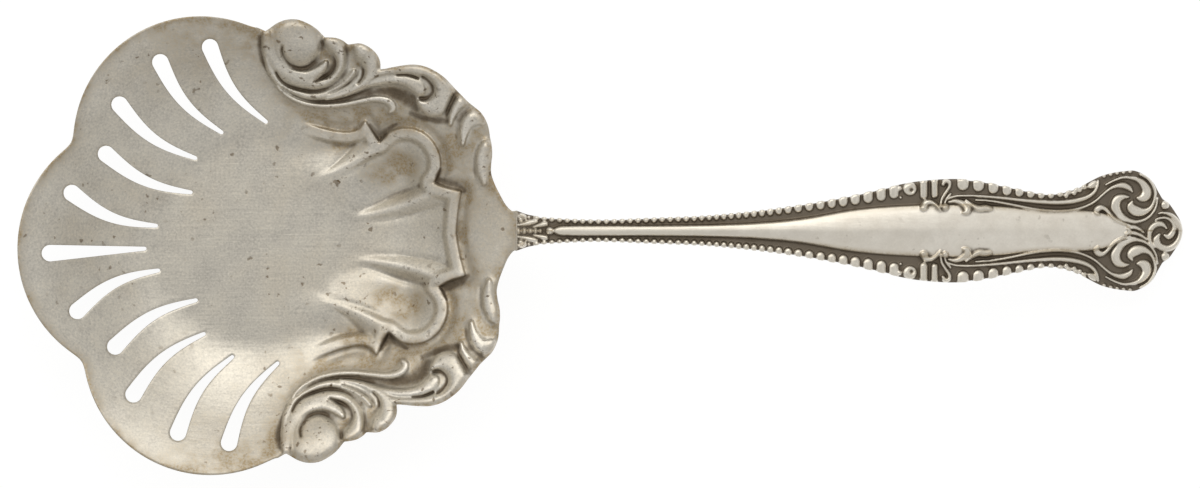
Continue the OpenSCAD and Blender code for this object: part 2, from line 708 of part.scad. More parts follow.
bowl();
solder_seam();
handle();
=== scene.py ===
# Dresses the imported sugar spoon: the struck and pierced shell bowl, the handle with its bead
# borders and whorls, and the solder between them. Lengths are in mm until a mesh is made.
import math

import bpy
import numpy as np
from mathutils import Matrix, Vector
from mathutils.geometry import delaunay_2d_cdt


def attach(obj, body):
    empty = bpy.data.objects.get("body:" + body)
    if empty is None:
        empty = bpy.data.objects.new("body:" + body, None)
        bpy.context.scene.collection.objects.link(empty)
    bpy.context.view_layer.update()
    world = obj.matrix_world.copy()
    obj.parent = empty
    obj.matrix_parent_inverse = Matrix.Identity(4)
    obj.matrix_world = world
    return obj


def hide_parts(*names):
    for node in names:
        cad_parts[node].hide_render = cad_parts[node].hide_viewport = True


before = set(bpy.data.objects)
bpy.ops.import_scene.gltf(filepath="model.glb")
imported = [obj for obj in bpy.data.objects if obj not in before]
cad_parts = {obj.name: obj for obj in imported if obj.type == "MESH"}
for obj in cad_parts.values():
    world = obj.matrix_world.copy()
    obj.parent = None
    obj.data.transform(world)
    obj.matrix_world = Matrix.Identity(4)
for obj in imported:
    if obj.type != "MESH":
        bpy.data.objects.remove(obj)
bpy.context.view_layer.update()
mm = 0.001
edgeReach = 1.6    # how far from an edge its distance is measured, in mm


# Lines, grids and relief

def smoothLine(points, closed=False, steps=6):
    # a smooth line through given rows, whatever the rows hold
    p = np.array(points, float)
    n = len(p)
    t = (np.arange(steps) / steps)[:, None]
    out = []
    for i in range(n if closed else n - 1):
        near = [(i + k) % n if closed else min(max(i + k, 0), n - 1) for k in (-1, 0, 1, 2)]
        a, b, c, d = p[near]
        out.append(0.5 * (2 * b + (c - a) * t + (2 * a - 5 * b + 4 * c - d) * t ** 2
                          + (3 * b - a - 3 * c + d) * t ** 3))
    return np.vstack(out if closed else out + [p[-1:]])


def evenLoop(points, gap=0.24):
    # the same closed line with points at even distances
    p = np.vstack([points, points[:1]])
    run = np.concatenate([[0], np.cumsum(np.hypot(*np.diff(p, axis=0).T))])
    count = int(round(run[-1] / gap))
    at = np.arange(count) * run[-1] / count
    return np.column_stack([np.interp(at, run, p[:, 0]), np.interp(at, run, p[:, 1])])


def hermite(a, b, slopeA, slopeB, span, t):
    # a soft run from one value to another, with a given slope at each end
    return (a * (1 + 2 * t) * (1 - t) ** 2 + slopeA * span * t * (1 - t) ** 2
            + b * t * t * (3 - 2 * t) - slopeB * span * t * t * (1 - t))


def smoothTable(table, s):
    # value at s of a table of places and values, without corners
    x, y = np.array(table, float).T
    lo = np.maximum(np.arange(len(x)) - 1, 0)
    hi = np.minimum(np.arange(len(x)) + 1, len(x) - 1)
    slope = (y[hi] - y[lo]) / (x[hi] - x[lo])
    i = np.clip(np.searchsorted(x, s, side="right") - 1, 0, len(x) - 2)
    span = x[i + 1] - x[i]
    return hermite(y[i], y[i + 1], slope[i], slope[i + 1], span, np.clip((s - x[i]) / span, 0, 1))


def ease(t):
    t = np.clip(t, 0, 1)
    return t * t * (3 - 2 * t)


def hollowAndCrest(relief, grid, soft, depth, height=0.2):
    # how far the relief lies under its own soft average, up to a depth, and over it, up to a height
    over = relief - blur(relief, grid, soft)
    return np.clip(-over / depth, 0, 1), np.clip(over / height, 0, 1)


def arc(share):
    # how far a quarter-round edge has dropped, from 0 where it starts to 1 at its end
    return 1 - np.sqrt(1 - share ** 2 * 0.98)


def makeGrid(low, high, step):
    x = np.arange(low[0], high[0], step)
    y = np.arange(low[1], high[1], step)
    return {"low": low, "step": step, "x": x, "y": y, "shape": (len(y), len(x))}


def upperHalf(grid):
    return makeGrid((grid["low"][0], 0.0), (grid["x"][-1] + 1e-6, grid["y"][-1] + grid["step"]), grid["step"])


def mirrored(grid, field):
    # the upper half's field over the whole grid
    rows = np.abs(grid["y"]) / grid["step"]
    i = np.clip(rows.astype(int), 0, len(field) - 2)
    f = np.clip(rows - i, 0, 1)[:, None]
    return field[i] * (1 - f) + field[i + 1] * f


def windowOf(grid, xs, ys, far):
    # the part of the grid within far of these places, and its x and y from the first of them
    step, (x0, y0), (rows, cols) = grid["step"], grid["low"], grid["shape"]
    c0 = max(int((min(xs) - far - x0) / step), 0)
    c1 = min(int((max(xs) + far - x0) / step) + 2, cols)
    r0 = max(int((min(ys) - far - y0) / step), 0)
    r1 = min(int((max(ys) + far - y0) / step) + 2, rows)
    part = slice(r0, max(r1, r0)), slice(c0, max(c1, c0))
    return part, grid["x"][part[1]][None, :] - xs[0], grid["y"][part[0]][:, None] - ys[0]


def segment(grid, a, b, far):
    # a stretch of a line: the window round it, and for each cell there how far along it lies
    # (0 to 1), its distance and whether it is on the left
    part, x, y = windowOf(grid, (a[0], b[0]), (a[1], b[1]), far)
    dx, dy = b[0] - a[0], b[1] - a[1]
    t = np.clip((x * dx + y * dy) / max(dx * dx + dy * dy, 1e-9), 0, 1)
    return part, t, np.hypot(x - t * dx, y - t * dy), dx * y - dy * x > 0


def strokeShare(grid, line, reach=1.0):
    # distance from a line as a share of its half-width
    share = np.full(grid["shape"], 9.0)
    for a, b in zip(line[:-1], line[1:]):
        part, t, gap, _ = segment(grid, a, b, max(a[2], b[2]) * reach)
        share[part] = np.minimum(share[part], gap / (a[2] + (b[2] - a[2]) * t))
    return share


def strike(relief, grid, line, rise, power=0.5):
    # a raised line with a rounded section, joined to what is there by taking the higher
    q = strokeShare(grid, line)
    np.maximum(relief, rise * np.clip(1 - q * q, 0, 1) ** power, out=relief)


def dome(relief, grid, at, radius, rise, power=0.5):
    part, x, y = windowOf(grid, at[:1], at[1:], radius)
    h = rise * np.clip(1 - (x * x + y * y) / radius ** 2, 0, 1) ** power
    relief[part] = np.maximum(relief[part], h)


def rib(grid, line, back=0.5):
    # a rib with a flat top and two unlike slopes. Rows: x, y, half-width of the top, width of the
    # slope to the left and to the right of its direction, height, depth of the foot on either side
    out = np.zeros(grid["shape"])
    best = np.full(grid["shape"], 9.0)
    for a, b in zip(line[:-1], line[1:]):
        far = max(row[2] + max(row[3], row[4]) for row in (a, b)) + back
        part, t, gap, left = segment(grid, a, b, far)
        flat, wideLeft, wideRight, high, footLeft, footRight = [a[k] + (b[k] - a[k]) * t for k in range(2, 8)]
        wide = np.where(left, wideLeft, wideRight)
        foot = np.where(left, footLeft, footRight)
        off = np.maximum(gap - flat, 0)
        slope = high - (high + foot) * off / wide
        value = np.where(off < wide, slope, -foot * (1 - ease((off - wide) / back)))
        nearer = gap < best[part]
        best[part] = np.where(nearer, gap, best[part])
        out[part] = np.where(nearer, value, out[part])
    return out


def insideOf(grid, loop):
    # which cells lie inside a closed line
    rows, cols = grid["shape"]
    step, (left, low) = grid["step"], grid["low"]
    hit = np.zeros((rows, cols + 1), int)
    for (x0, y0), (x1, y1) in zip(loop, np.roll(loop, -1, axis=0)):
        if y0 == y1:
            continue
        first, last = (int(math.ceil((y - low) / step)) for y in sorted((y0, y1)))
        r = np.arange(max(first, 0), min(last, rows))
        x = x0 + (low + r * step - y0) * (x1 - x0) / (y1 - y0)
        np.add.at(hit, (r, np.clip(np.ceil((x - left) / step).astype(int), 0, cols)), 1)
    return np.cumsum(hit, axis=1)[:, :cols] % 2 == 1


def edgeDistance(grid, loop, far, closed=True):
    # distance from a line, up to far
    dist = np.full(grid["shape"], far)
    for a, b in zip(loop, np.roll(loop, -1, axis=0) if closed else loop[1:]):
        part, _, gap, _ = segment(grid, a, b, far)
        dist[part] = np.minimum(dist[part], gap)
    return dist


def blur(field, grid, radius):
    # soft average over a radius in mm
    rows, cols = field.shape
    pad = int(3 * radius / grid["step"]) + 1
    wide = np.pad(field, pad, mode="edge")
    fy = np.fft.fftfreq(wide.shape[0])[:, None]
    fx = np.fft.rfftfreq(wide.shape[1])[None, :]
    s = radius / grid["step"]
    low = np.fft.rfft2(wide) * np.exp(-2 * (math.pi * s) ** 2 * (fx * fx + fy * fy))
    return np.fft.irfft2(low, wide.shape)[pad:pad + rows, pad:pad + cols]


def sample(grid, field, p):
    # value of a field at places between its cells
    rows, cols = grid["shape"]
    x = np.clip((p[:, 0] - grid["low"][0]) / grid["step"], 0, cols - 1.001)
    y = np.clip((p[:, 1] - grid["low"][1]) / grid["step"], 0, rows - 1.001)
    i, j = x.astype(int), y.astype(int)
    fx, fy = x - i, y - j
    return ((field[j, i] * (1 - fx) + field[j, i + 1] * fx) * (1 - fy)
            + (field[j + 1, i] * (1 - fx) + field[j + 1, i + 1] * fx) * fy)


# Meshes from height fields

def shiftIn(loop, gap):
    # a loop moved in over the metal, which lies to the left of its direction
    way = np.roll(loop, -1, axis=0) - np.roll(loop, 1, axis=0)
    way /= np.hypot(way[:, 0], way[:, 1])[:, None]
    return loop + gap * np.column_stack([-way[:, 1], way[:, 0]])


def layPoints(grid, inside, edge, level, gaps):
    # points in rows inside the outline, closer together where the level of detail is higher
    found = []
    for k, gap in enumerate(gaps):
        ys = np.arange(grid["low"][1], grid["y"][-1], gap * math.sqrt(3) / 2)
        xs = np.arange(grid["low"][0], grid["x"][-1], gap)
        x = (xs[None, :] + (np.arange(len(ys)) % 2)[:, None] * gap / 2).ravel()
        y = np.repeat(ys, len(xs))
        i = np.clip(((x - grid["low"][0]) / grid["step"] + 0.5).astype(int), 0, grid["shape"][1] - 1)
        j = np.clip(((y - grid["low"][1]) / grid["step"] + 0.5).astype(int), 0, grid["shape"][0] - 1)
        keep = inside[j, i] & (edge[j, i] > 0.55 * gap) & (level[j, i] == k)
        found.append(np.column_stack([x, y])[keep])
    return np.vstack(found)


def meshPoints(grid, inside, edge, loops, relief, look):
    # points of the struck side, with rings along each loop, and of the back
    slope = np.hypot(*np.gradient(relief, grid["step"])[::-1])
    busy = blur(np.hypot(*np.gradient(slope, grid["step"])), grid, look["meshBlur"])
    calm, lively = look["meshLevels"]
    level = np.where(busy > lively, 2, np.where(busy > calm, 1, 0))
    rings = []
    for gap in look["ringGaps"]:
        for loop in loops:
            ring = shiftIn(loop, gap)
            rings.append(ring[sample(grid, edge, ring) > 0.6 * gap])
    inside = inside & (edge > 0.2)
    struck = layPoints(grid, inside, edge, level, look["meshGaps"])
    return np.vstack(rings + [struck]), layPoints(grid, inside, edge, level * 0, look["backGaps"])


def insideLoop(p, loop):
    # which points lie inside a closed line
    odd = np.zeros(len(p), bool)
    for (x0, y0), (x1, y1) in zip(loop, np.roll(loop, -1, axis=0)):
        crosses = (y0 > p[:, 1]) != (y1 > p[:, 1])
        if y0 != y1:
            odd ^= crosses & (p[:, 0] < x0 + (p[:, 1] - y0) * (x1 - x0) / (y1 - y0))
    return odd


def fillFace(loops, points):
    # triangles of one side: the first loop is the outline, the others are holes
    every = np.vstack(loops + [points])
    starts = np.cumsum([0] + [len(loop) for loop in loops])
    edges = [(int(starts[k]) + i, int(starts[k]) + (i + 1) % len(loop))
             for k, loop in enumerate(loops) if k for i in range(len(loop))]
    made = delaunay_2d_cdt([Vector(p) for p in every], edges, [list(range(len(loops[0])))], 1, 1e-6, True)
    source = np.array([ids[0] if ids else -1 for ids in made[3]])
    faces = source[np.array([f for f in made[2] if len(f) == 3])]
    faces = faces[(faces >= 0).all(axis=1)]
    owner = np.searchsorted(starts, faces, side="right") - 1
    owner[faces >= starts[-1]] = -1
    middle = every[faces].mean(axis=1)
    keep = np.ones(len(faces), bool)
    # what spans a notch or fills a slot goes
    for k, loop in enumerate(loops):
        mine = np.where((owner == k).all(axis=1))[0]
        keep[mine] = insideLoop(middle[mine], loop) == (k == 0)
    return every, faces[keep]


def addObject(name, data):
    made = bpy.data.objects.new(name, data)
    bpy.context.scene.collection.objects.link(made)
    return made


def makeMesh(name, points, faces, values):
    mesh = bpy.data.meshes.new(name)
    mesh.from_pydata(points * mm, [], faces, shade_flat=False)
    mesh.validate()
    for key, value in values.items():
        mesh.attributes.new(key, "FLOAT", "POINT").data.foreach_set("value", value.astype(np.float32))
    return addObject(name, mesh)


nothing = (np.zeros((0, 3)), np.zeros((0, 3), int))


def sheetPiece(name, grid, loops, points, heights, fields, place, extra=nothing):
    # a closed sheet: struck side, back and the walls between them, then extra points and faces.
    # Fields hold what each point is told: a field for the struck side and a value for the rest
    top, topFaces = fillFace(loops, points[0])
    under, underFaces = fillFace(loops, points[1])
    count = len(top)
    walls = []
    start = 0
    for loop in loops:
        i = np.arange(len(loop)) + start
        j = np.roll(i, -1)
        walls += [np.column_stack([i, i + count, j]), np.column_stack([j, i + count, j + count])]
        start += len(loop)
    sheet = np.vstack([np.column_stack([p, sample(grid, height, p)])
                       for p, height in zip((top, under), heights)])
    faces = np.vstack([topFaces, underFaces[:, ::-1] + count] + walls + [extra[1] + len(sheet)])
    every = np.vstack([sheet, extra[0]])
    values = {key: np.concatenate([sample(grid, field, top), np.full(len(every) - count, rest)])
              for key, (field, rest) in fields.items()}
    print(name, "triangles", len(faces))
    return makeMesh(name, place(every), faces, values)


# The bowl

bowlLook = {
    "radius": 31.7,           # to the tip of a plain lobe
    "lobeRadius": 16.6,
    "lobeStep": 61.25,        # degrees from lobe to lobe
    "notch": 2.2,             # how sharp the notch between two lobes is
    "trim": 0.035,            # the plain lobes stay this much inside the forging
    "turn": 2.75,             # degrees the bowl sits turned on the handle
    "wellRadius": 12.4,
    "rimRise": 10.0,
    "flare": 0.6,
    "sheet": 1.2,
    "neckWidth": 5.2,
    "seam": 33.2,             # distance from the bowl's centre to the solder
    "solder": 0.2,
    "scrollRise": 1.0,
    "grooveDepth": 0.62,
    "lipRise": 0.6,
    "trough": 0.28,           # depth of the groove along the outside of the lip
    "scoop": 0.6,             # depth of the side flute
    "fluteRise": 0.7,         # how far its floor comes up ahead of the bowl's wall
    "fluteLean": 0.22,        # how steeply its floor leans down across it
    "fluteMiddle": (15.5, 8.0),
    "fluteAcross": (-0.357, 0.934),
    "hollows": (0.16, 0.2),   # depths at the middle of the heel and outside the side flute
    "sinks": (0.12, 0.09),    # depths of the dark ground and of the creases
    "slotRoll": (0.16, 0.22), # height and width of the slots' rounded edge
    "soften": 0.07,
    "crevice": (0.45, 0.34),  # radius of the soft average, and how deep under it is quite dark
    "window": ((-32.4, -30.4), (34.2, 30.4)),
    "grid": 0.08,
    "meshBlur": 0.25,
    "meshLevels": (0.06, 0.35),
    "meshGaps": (0.62, 0.3, 0.14),
    "ringGaps": (0.07, 0.17),
    "backGaps": (0.7,),
}
turn = math.radians(bowlLook["turn"])
neckX = bowlLook["seam"] * math.cos(turn)
neckY = bowlLook["seam"] * math.sin(turn)


def dishUnder(r):
    t = np.clip((r - bowlLook["wellRadius"]) / (bowlLook["radius"] - bowlLook["wellRadius"]), 0, 1)
    return bowlLook["rimRise"] * ((1 - bowlLook["flare"]) * t * t + bowlLook["flare"] * t * t * (3 - 2 * t))


# Outline of the scrolled side, from the neck round to the first plain lobe: neck, leaf, middle
# leaf, crescent, ball, bump and volute
scrolledSide = [
    [(33.1, 2.6), (32.65, 2.62), (31.9, 3.5), (31.2, 4.9), (30.6, 6.3), (30.25, 7.6), (30.3, 8.8)],
    [(30.3, 8.8), (30.5, 10), (30.5, 11.2), (30.33, 12.25)],
    [(30.33, 12.25), (30.2, 13.5), (29.85, 14.6), (29.25, 15.6), (28.5, 16.3), (27.7, 17)],
    [(27.7, 17), (26.9, 17.9), (26.1, 18.8), (24.8, 20.3), (23.4, 21.35), (22.1, 21.95), (20.8, 22.2),
     (19.5, 22.15), (18.2, 22), (17.2, 21.85), (16.5, 21.8)],
    [(16.5, 21.8), (16.55, 22.6), (16.3, 23.5), (15.7, 24.3), (14.8, 25), (13.9, 25.3), (13, 25.25),
     (12.45, 25.2)],
    [(12.45, 25.2), (11.9, 25.7), (11.1, 26.1), (10.2, 26.25), (9.5, 26.3)],
    [(9.5, 26.3), (9.1, 26.75), (8.4, 27.5), (7.3, 28.25), (6, 28.78), (4.6, 28.8), (3.4, 28.42),
     (2.4, 27.8), (1.8, 27.42)],
]


def lobeRadiusAt(angle):
    # distance to the rim of the plain lobes, with the notches rounded
    out = 0
    reach = bowlLook["radius"] - bowlLook["lobeRadius"]
    for k in (-2, -1, 0, 1, 2):
        off = np.abs((angle - 180 - k * bowlLook["lobeStep"] + 180) % 360 - 180)
        off = np.radians(np.minimum(off, 60))
        r = reach * np.cos(off) + np.sqrt(bowlLook["lobeRadius"] ** 2 - (reach * np.sin(off)) ** 2)
        out = out + np.exp(bowlLook["notch"] * (r - bowlLook["radius"]))
    return bowlLook["radius"] + np.log(out) / bowlLook["notch"]


def bowlOutline():
    angle = np.linspace(88.3, 180, 160)
    way = np.column_stack([np.cos(np.radians(angle)), np.sin(np.radians(angle))])
    lobes = (lobeRadiusAt(angle) - bowlLook["trim"])[:, None] * way
    half = np.vstack([smoothLine(part)[:-1] for part in scrolledSide] + [lobes])
    # the seam's two ends, in the bowl's own turned frame
    x = neckX - bowlLook["solder"] / 2
    seam = [(x * math.cos(turn) + y * math.sin(turn), y * math.cos(turn) - x * math.sin(turn))
            for y in (neckY + bowlLook["neckWidth"] / 2, neckY - bowlLook["neckWidth"] / 2)]
    return evenLoop(np.vstack([seam[:1], half[1:], half[-2:0:-1] * [1, -1], seam[1:]]))


# Slots: degrees from the lobe's middle and share of the bowl's radius, of the wide outer end and
# then of the narrow inner end
slotLook = {"endRadius": 1.08, "tipRadius": 0.26, "bow": 1.1}
slotPlaces = [(0, 0.902, 0, 0.476), (17.5, 0.839, 12, 0.434), (32.5, 0.77, 38, 0.352),
    (47, 0.847, 54.5, 0.436), (63.5, 0.883, 72.5, 0.476), (78, 0.864, 94.5, 0.49)]


def slotLoop(place, side):
    ends = []
    for angle, share, inset in ((*place[:2], -slotLook["endRadius"]), (*place[2:], slotLook["tipRadius"])):
        a = math.radians(180 - angle)
        ends.append((bowlLook["radius"] * share + inset) * np.array([math.cos(a), math.sin(a)]))
    a, b = ends
    way = (b - a) / np.hypot(*(b - a))
    bow = slotLook["bow"] if place[0] else 0
    t = np.linspace(0, 1, 40)[:, None]
    spine = a + (b - a) * t + bow * np.sin(math.pi * t) * np.array([way[1], -way[0]])
    wide = slotLook["endRadius"] + (slotLook["tipRadius"] - slotLook["endRadius"]) * t
    along = np.gradient(spine, axis=0)
    along /= np.hypot(along[:, 0], along[:, 1])[:, None]
    left = np.column_stack([-along[:, 1], along[:, 0]])

    def cap(at, way, radius):
        a = math.atan2(way[1], way[0]) + np.radians(np.linspace(-90, 90, 13)[1:-1])
        return at + radius * np.column_stack([np.cos(a), np.sin(a)])

    loop = evenLoop(np.vstack([spine - left * wide, cap(spine[-1], along[-1], wide[-1, 0]),
                               (spine + left * wide)[::-1], cap(spine[0], -along[0], wide[0, 0])]))
    # clockwise, so that the metal lies to the left
    return loop[::-1] if side > 0 else loop * [1, -1]


# The struck scrolls of one side: share of the full height, then x, y and half-width
scrollLines = {
    "bodyLeaf": (1, [(1.94, 27.3, 0.6), (2.15, 25.74, 1), (2.48, 24.2, 1.15), (3.2, 22.8, 1.15),
        (4.42, 21.75, 1.25), (6.55, 20.85, 1.4), (8.92, 20.25, 0.95), (10.45, 20.85, 0.9),
        (11.35, 21.95, 0.9), (11.55, 23.25, 0.92), (11.25, 24.5, 1), (10.4, 25.6, 1.05), (9.6, 26.3, 0.85)]),
    "innerFinger": (1, [(6.28, 21, 1.17), (7.18, 21.2, 1.1), (8.35, 21.85, 0.85), (9.15, 22.55, 0.6),
        (9.5, 23.1, 0.3)]),
    "outerBand": (0.85, [(1.75, 23.9, 0.3), (2.2, 22.5, 0.55), (3, 21.2, 0.65), (4.3, 19.85, 0.68),
        (5.9, 18.95, 0.66), (7.6, 18.6, 0.62), (9.4, 18.85, 0.64), (11, 19.45, 0.75), (12.4, 20.5, 0.78),
        (13.1, 21.5, 0.5)]),
    "outerFinger": (1, [(9.27, 18.28, 0.22), (11.21, 18.69, 0.4), (12.74, 19.22, 0.62), (14.3, 20.2, 0.95),
        (15.2, 21.35, 1.15), (15.4, 22.7, 1.2), (14.85, 23.9, 1.25), (14.1, 24.6, 1.05)]),
    "thinTail": (0.75, [(2.9, 20.3, 0.12), (4.02, 19.1, 0.22), (5.36, 18.3, 0.3), (6.95, 17.7, 0.34),
        (9.04, 17.4, 0.36), (11.25, 17.45, 0.38), (13.45, 17.75, 0.42), (15.3, 18, 0.48),
        (16.7, 17.85, 0.56), (17.6, 17.3, 0.6), (17.85, 16.6, 0.52), (17.5, 16.2, 0.3)]),
    "stemCurl": (0.85, [(10.83, 18.5, 0.2), (12.63, 19.1, 0.36), (14.42, 19.75, 0.52), (15.97, 20.15, 0.6),
        (17.52, 20.35, 0.66), (18.95, 20.25, 0.74), (20.14, 19.9, 0.88), (21, 19.4, 1.1),
        (21.4, 18.9, 0.95)]),
    "crescent": (1, [(15.16, 20.6, 0.3), (16.16, 21.35, 0.7), (17.7, 21.7, 0.9), (19.51, 21.75, 0.95),
        (21.34, 21.6, 1.05), (22.93, 21, 1.2), (24.16, 19.95, 1.35), (24.6, 18.6, 1.5), (24.2, 17.4, 1.6),
        (23.3, 16.7, 1.55), (22.5, 16.7, 1.15), (21.8, 17, 0.7), (21.35, 17.4, 0.35)]),
    "leafOne": (0.75, [(25.3, 14.2, 0.2), (25.5, 15.2, 0.5), (26, 16.2, 0.75), (26.8, 17.1, 0.9),
        (27.6, 17.6, 0.8)]),
    "leafTwo": (0.85, [(26.75, 11.6, 0.3), (26.95, 13, 0.65), (27.5, 14.3, 1), (28.4, 15, 1.25),
        (29.2, 14.9, 1.1)]),
    "leafThree": (0.8, [(29.3, 6.4, 0.4), (29.1, 8.1, 0.85), (29.15, 9.6, 1.1), (29.7, 11, 1.15)]),
}
# Hollows cut between and in them: x, y, half-width
scrollGrooves = [
    [(3.9, 25.4, 0.12), (3.85, 24.56, 0.2), (4.2, 23.69, 0.27), (4.89, 22.95, 0.34), (5.98, 22.5, 0.38),
     (7.12, 22.62, 0.42), (8.13, 23.2, 0.5), (9.1, 23.8, 0.6), (10, 23.6, 0.55)],
    [(7.9, 20.6, 0.12), (8.88, 21.06, 0.24), (9.77, 21.59, 0.36), (10.3, 22.36, 0.46), (10.45, 23.1, 0.48),
     (10, 23.65, 0.5)],
    [(2.9, 22.1, 0.1), (3.4, 21.1, 0.16), (4.4, 20.25, 0.2), (5.9, 19.75, 0.22), (7.6, 19.45, 0.24),
     (9.3, 19.7, 0.28), (10.62, 20.4, 0.34), (11.7, 21.6, 0.4), (12.25, 23, 0.46), (12.4, 24.3, 0.46),
     (12.45, 25.2, 0.35)],
    [(9.6, 19, 0.1), (11, 19.5, 0.14), (12.3, 20.2, 0.18), (13.3, 21.2, 0.26), (13.8, 22.2, 0.3)],
    [(13.5, 20.1, 0.14), (14.1, 20.9, 0.26), (14.2, 21.75, 0.34), (13.6, 22.3, 0.34)],
    [(3.6, 20, 0.12), (5.2, 18.95, 0.18), (6.9, 18.3, 0.2), (9, 18, 0.22), (11.3, 18.15, 0.3),
     (13.2, 18.65, 0.4), (15.2, 19.05, 0.5), (17.2, 19.15, 0.6), (19, 18.75, 0.66), (20.2, 18, 0.6)],
    [(21.5, 17.75, 0.3), (22.31, 17.8, 0.42), (22.95, 18.45, 0.46), (23.05, 19.3, 0.44), (22.6, 20.1, 0.36),
     (21.9, 20.6, 0.2)],
    [(18.6, 20.95, 0.08), (20, 20.9, 0.12), (21.4, 20.4, 0.12)],
    [(24.6, 14.6, 0.16), (24.9, 15.7, 0.32), (25.4, 16.9, 0.42), (26.1, 18, 0.42), (26.8, 18.5, 0.3)],
    [(25.9, 12.4, 0.16), (26, 13.7, 0.32), (26.6, 15.1, 0.42), (27.6, 16, 0.42), (28.6, 16.6, 0.34)],
    [(28.1, 7.2, 0.16), (27.95, 8.7, 0.32), (28.05, 10.2, 0.44), (28.6, 11.5, 0.48), (29.5, 12.3, 0.44),
     (30.6, 12.7, 0.34)],
    [(9.3, 26.8, 0.3), (9.2, 25.7, 0.26), (9.1, 24.6, 0.4)],
]
# Sunk ground that holds the darkest tarnish: x, y, half-width
darkGround = [
    [(7.1, 17.9, 0.3), (10.7, 18, 0.4), (13.3, 18.4, 0.6), (15.9, 18.75, 0.9), (18.5, 18.5, 1.2),
     (20, 17.7, 1.3), (20.8, 16.5, 0.9)],
    [(20.2, 15.9, 0.6), (21.9, 15.2, 0.6), (23.8, 14.75, 0.7), (25.2, 14.7, 0.6), (26, 15.2, 0.4)],
    [(1.2, 26.6, 0.7), (1.1, 25, 0.7), (1.5, 23.2, 0.5), (2.3, 21.3, 0.3)],
    [(14.75, 14.7, 0.35), (15.3, 13.75, 0.7), (15.95, 13.2, 1.05), (16.9, 13.9, 0.6), (18.2, 14.6, 0.3)],
    [(23.7, 8.5, 0.3), (23.3, 7.3, 0.65), (24.4, 6.7, 0.8), (25.7, 6.2, 0.75), (26.6, 5.5, 0.5)],
    [(16.7, 22.6, 0.3), (15.9, 21.4, 0.35), (15.3, 20.8, 0.2)],
]
# Creases along the flutes: x, y, half-width
creases = [
    [(13.3, 13.2, 0.15), (12.2, 11.9, 0.26), (10.8, 10.55, 0.22), (9.2, 9.3, 0.1)],
    [(23.6, 3.9, 0.15), (21.8, 3.3, 0.26), (19.8, 2.8, 0.24), (17.6, 2.3, 0.14)],
]
# Round ends of the scrolls: place, radius, share of the scrolls' height
volutes = [((5.5, 25.4), 3.55, 1.5), ((14.4, 24.1), 1.35, 1.1)]
# Edge of the shell: from the middle of the heel to its cusp, in and round the side flute, out at
# the next cusp and on to where it fades
shellEdge = [
    [(25.15, 0), (25.3, 1.4), (25.6, 3.35), (26.05, 5.4)],
    [(26.05, 5.4), (24.6, 5.85), (23.4, 6.3), (22.4, 6.75)],
    [(22.4, 6.75), (23.1, 7.6), (23.55, 9), (23.4, 10.6), (22.5, 12.3), (21, 13.5), (19.1, 13.9),
     (17.3, 13.45), (15.9, 12.25)],
    [(15.9, 12.25), (15.1, 13.5), (14.5, 14.4), (14.15, 15)],
    [(14.15, 15), (13.4, 14.1), (12, 13.75), (10.2, 13.95), (7.9, 14.6), (5.4, 15.55)],
]
# Ribs between the flutes, from the well outwards: x, y, half-width of the top, width of the left
# and of the right slope, height, depths of the left and of the right foot
ribs = [
    [(6.6, 7.5, 0.04, 0.3, 0.3, 0, 0, 0), (8.4, 8.25, 0.1, 0.5, 0.45, 0.12, 0.06, 0.1),
     (10.4, 9, 0.2, 0.9, 0.6, 0.2, 0.12, 0.22), (12.3, 9.95, 0.3, 1.4, 0.75, 0.27, 0.16, 0.32),
     (14.2, 11.05, 0.4, 1.9, 0.8, 0.33, 0.18, 0.36), (15.9, 12.15, 0.5, 2.3, 0.7, 0.38, 0.15, 0.3)],
    [(12.2, 2.75, 0.04, 0.3, 0.2, 0, 0, 0), (13.4, 2.9, 0.05, 0.7, 0.5, 0.22, 0.16, 0.08),
     (15.3, 3.2, 0.07, 1.2, 0.9, 0.44, 0.36, 0.16), (17.6, 3.75, 0.1, 1.6, 1.3, 0.62, 0.48, 0.22),
     (20, 4.5, 0.12, 1.6, 1.7, 0.74, 0.48, 0.28), (22.3, 5.5, 0.14, 1.2, 2.1, 0.78, 0.32, 0.28),
     (24.2, 6, 0.14, 0.7, 2, 0.72, 0.1, 0.1)],
]
# Outline of the side flute's floor
scoopLoop = [(8.5, 8.3), (10.6, 9.3), (12.9, 10.4), (15, 11.5), (16.6, 12.3), (18.2, 12.6), (19.8, 12.4),
    (21.2, 11.5), (22.1, 10.2), (22.3, 8.8), (21.8, 7.6), (20.6, 6.2), (18.4, 5.2), (15.9, 4.3), (13.2, 3.6),
    (10.4, 4.2), (8.4, 6)]


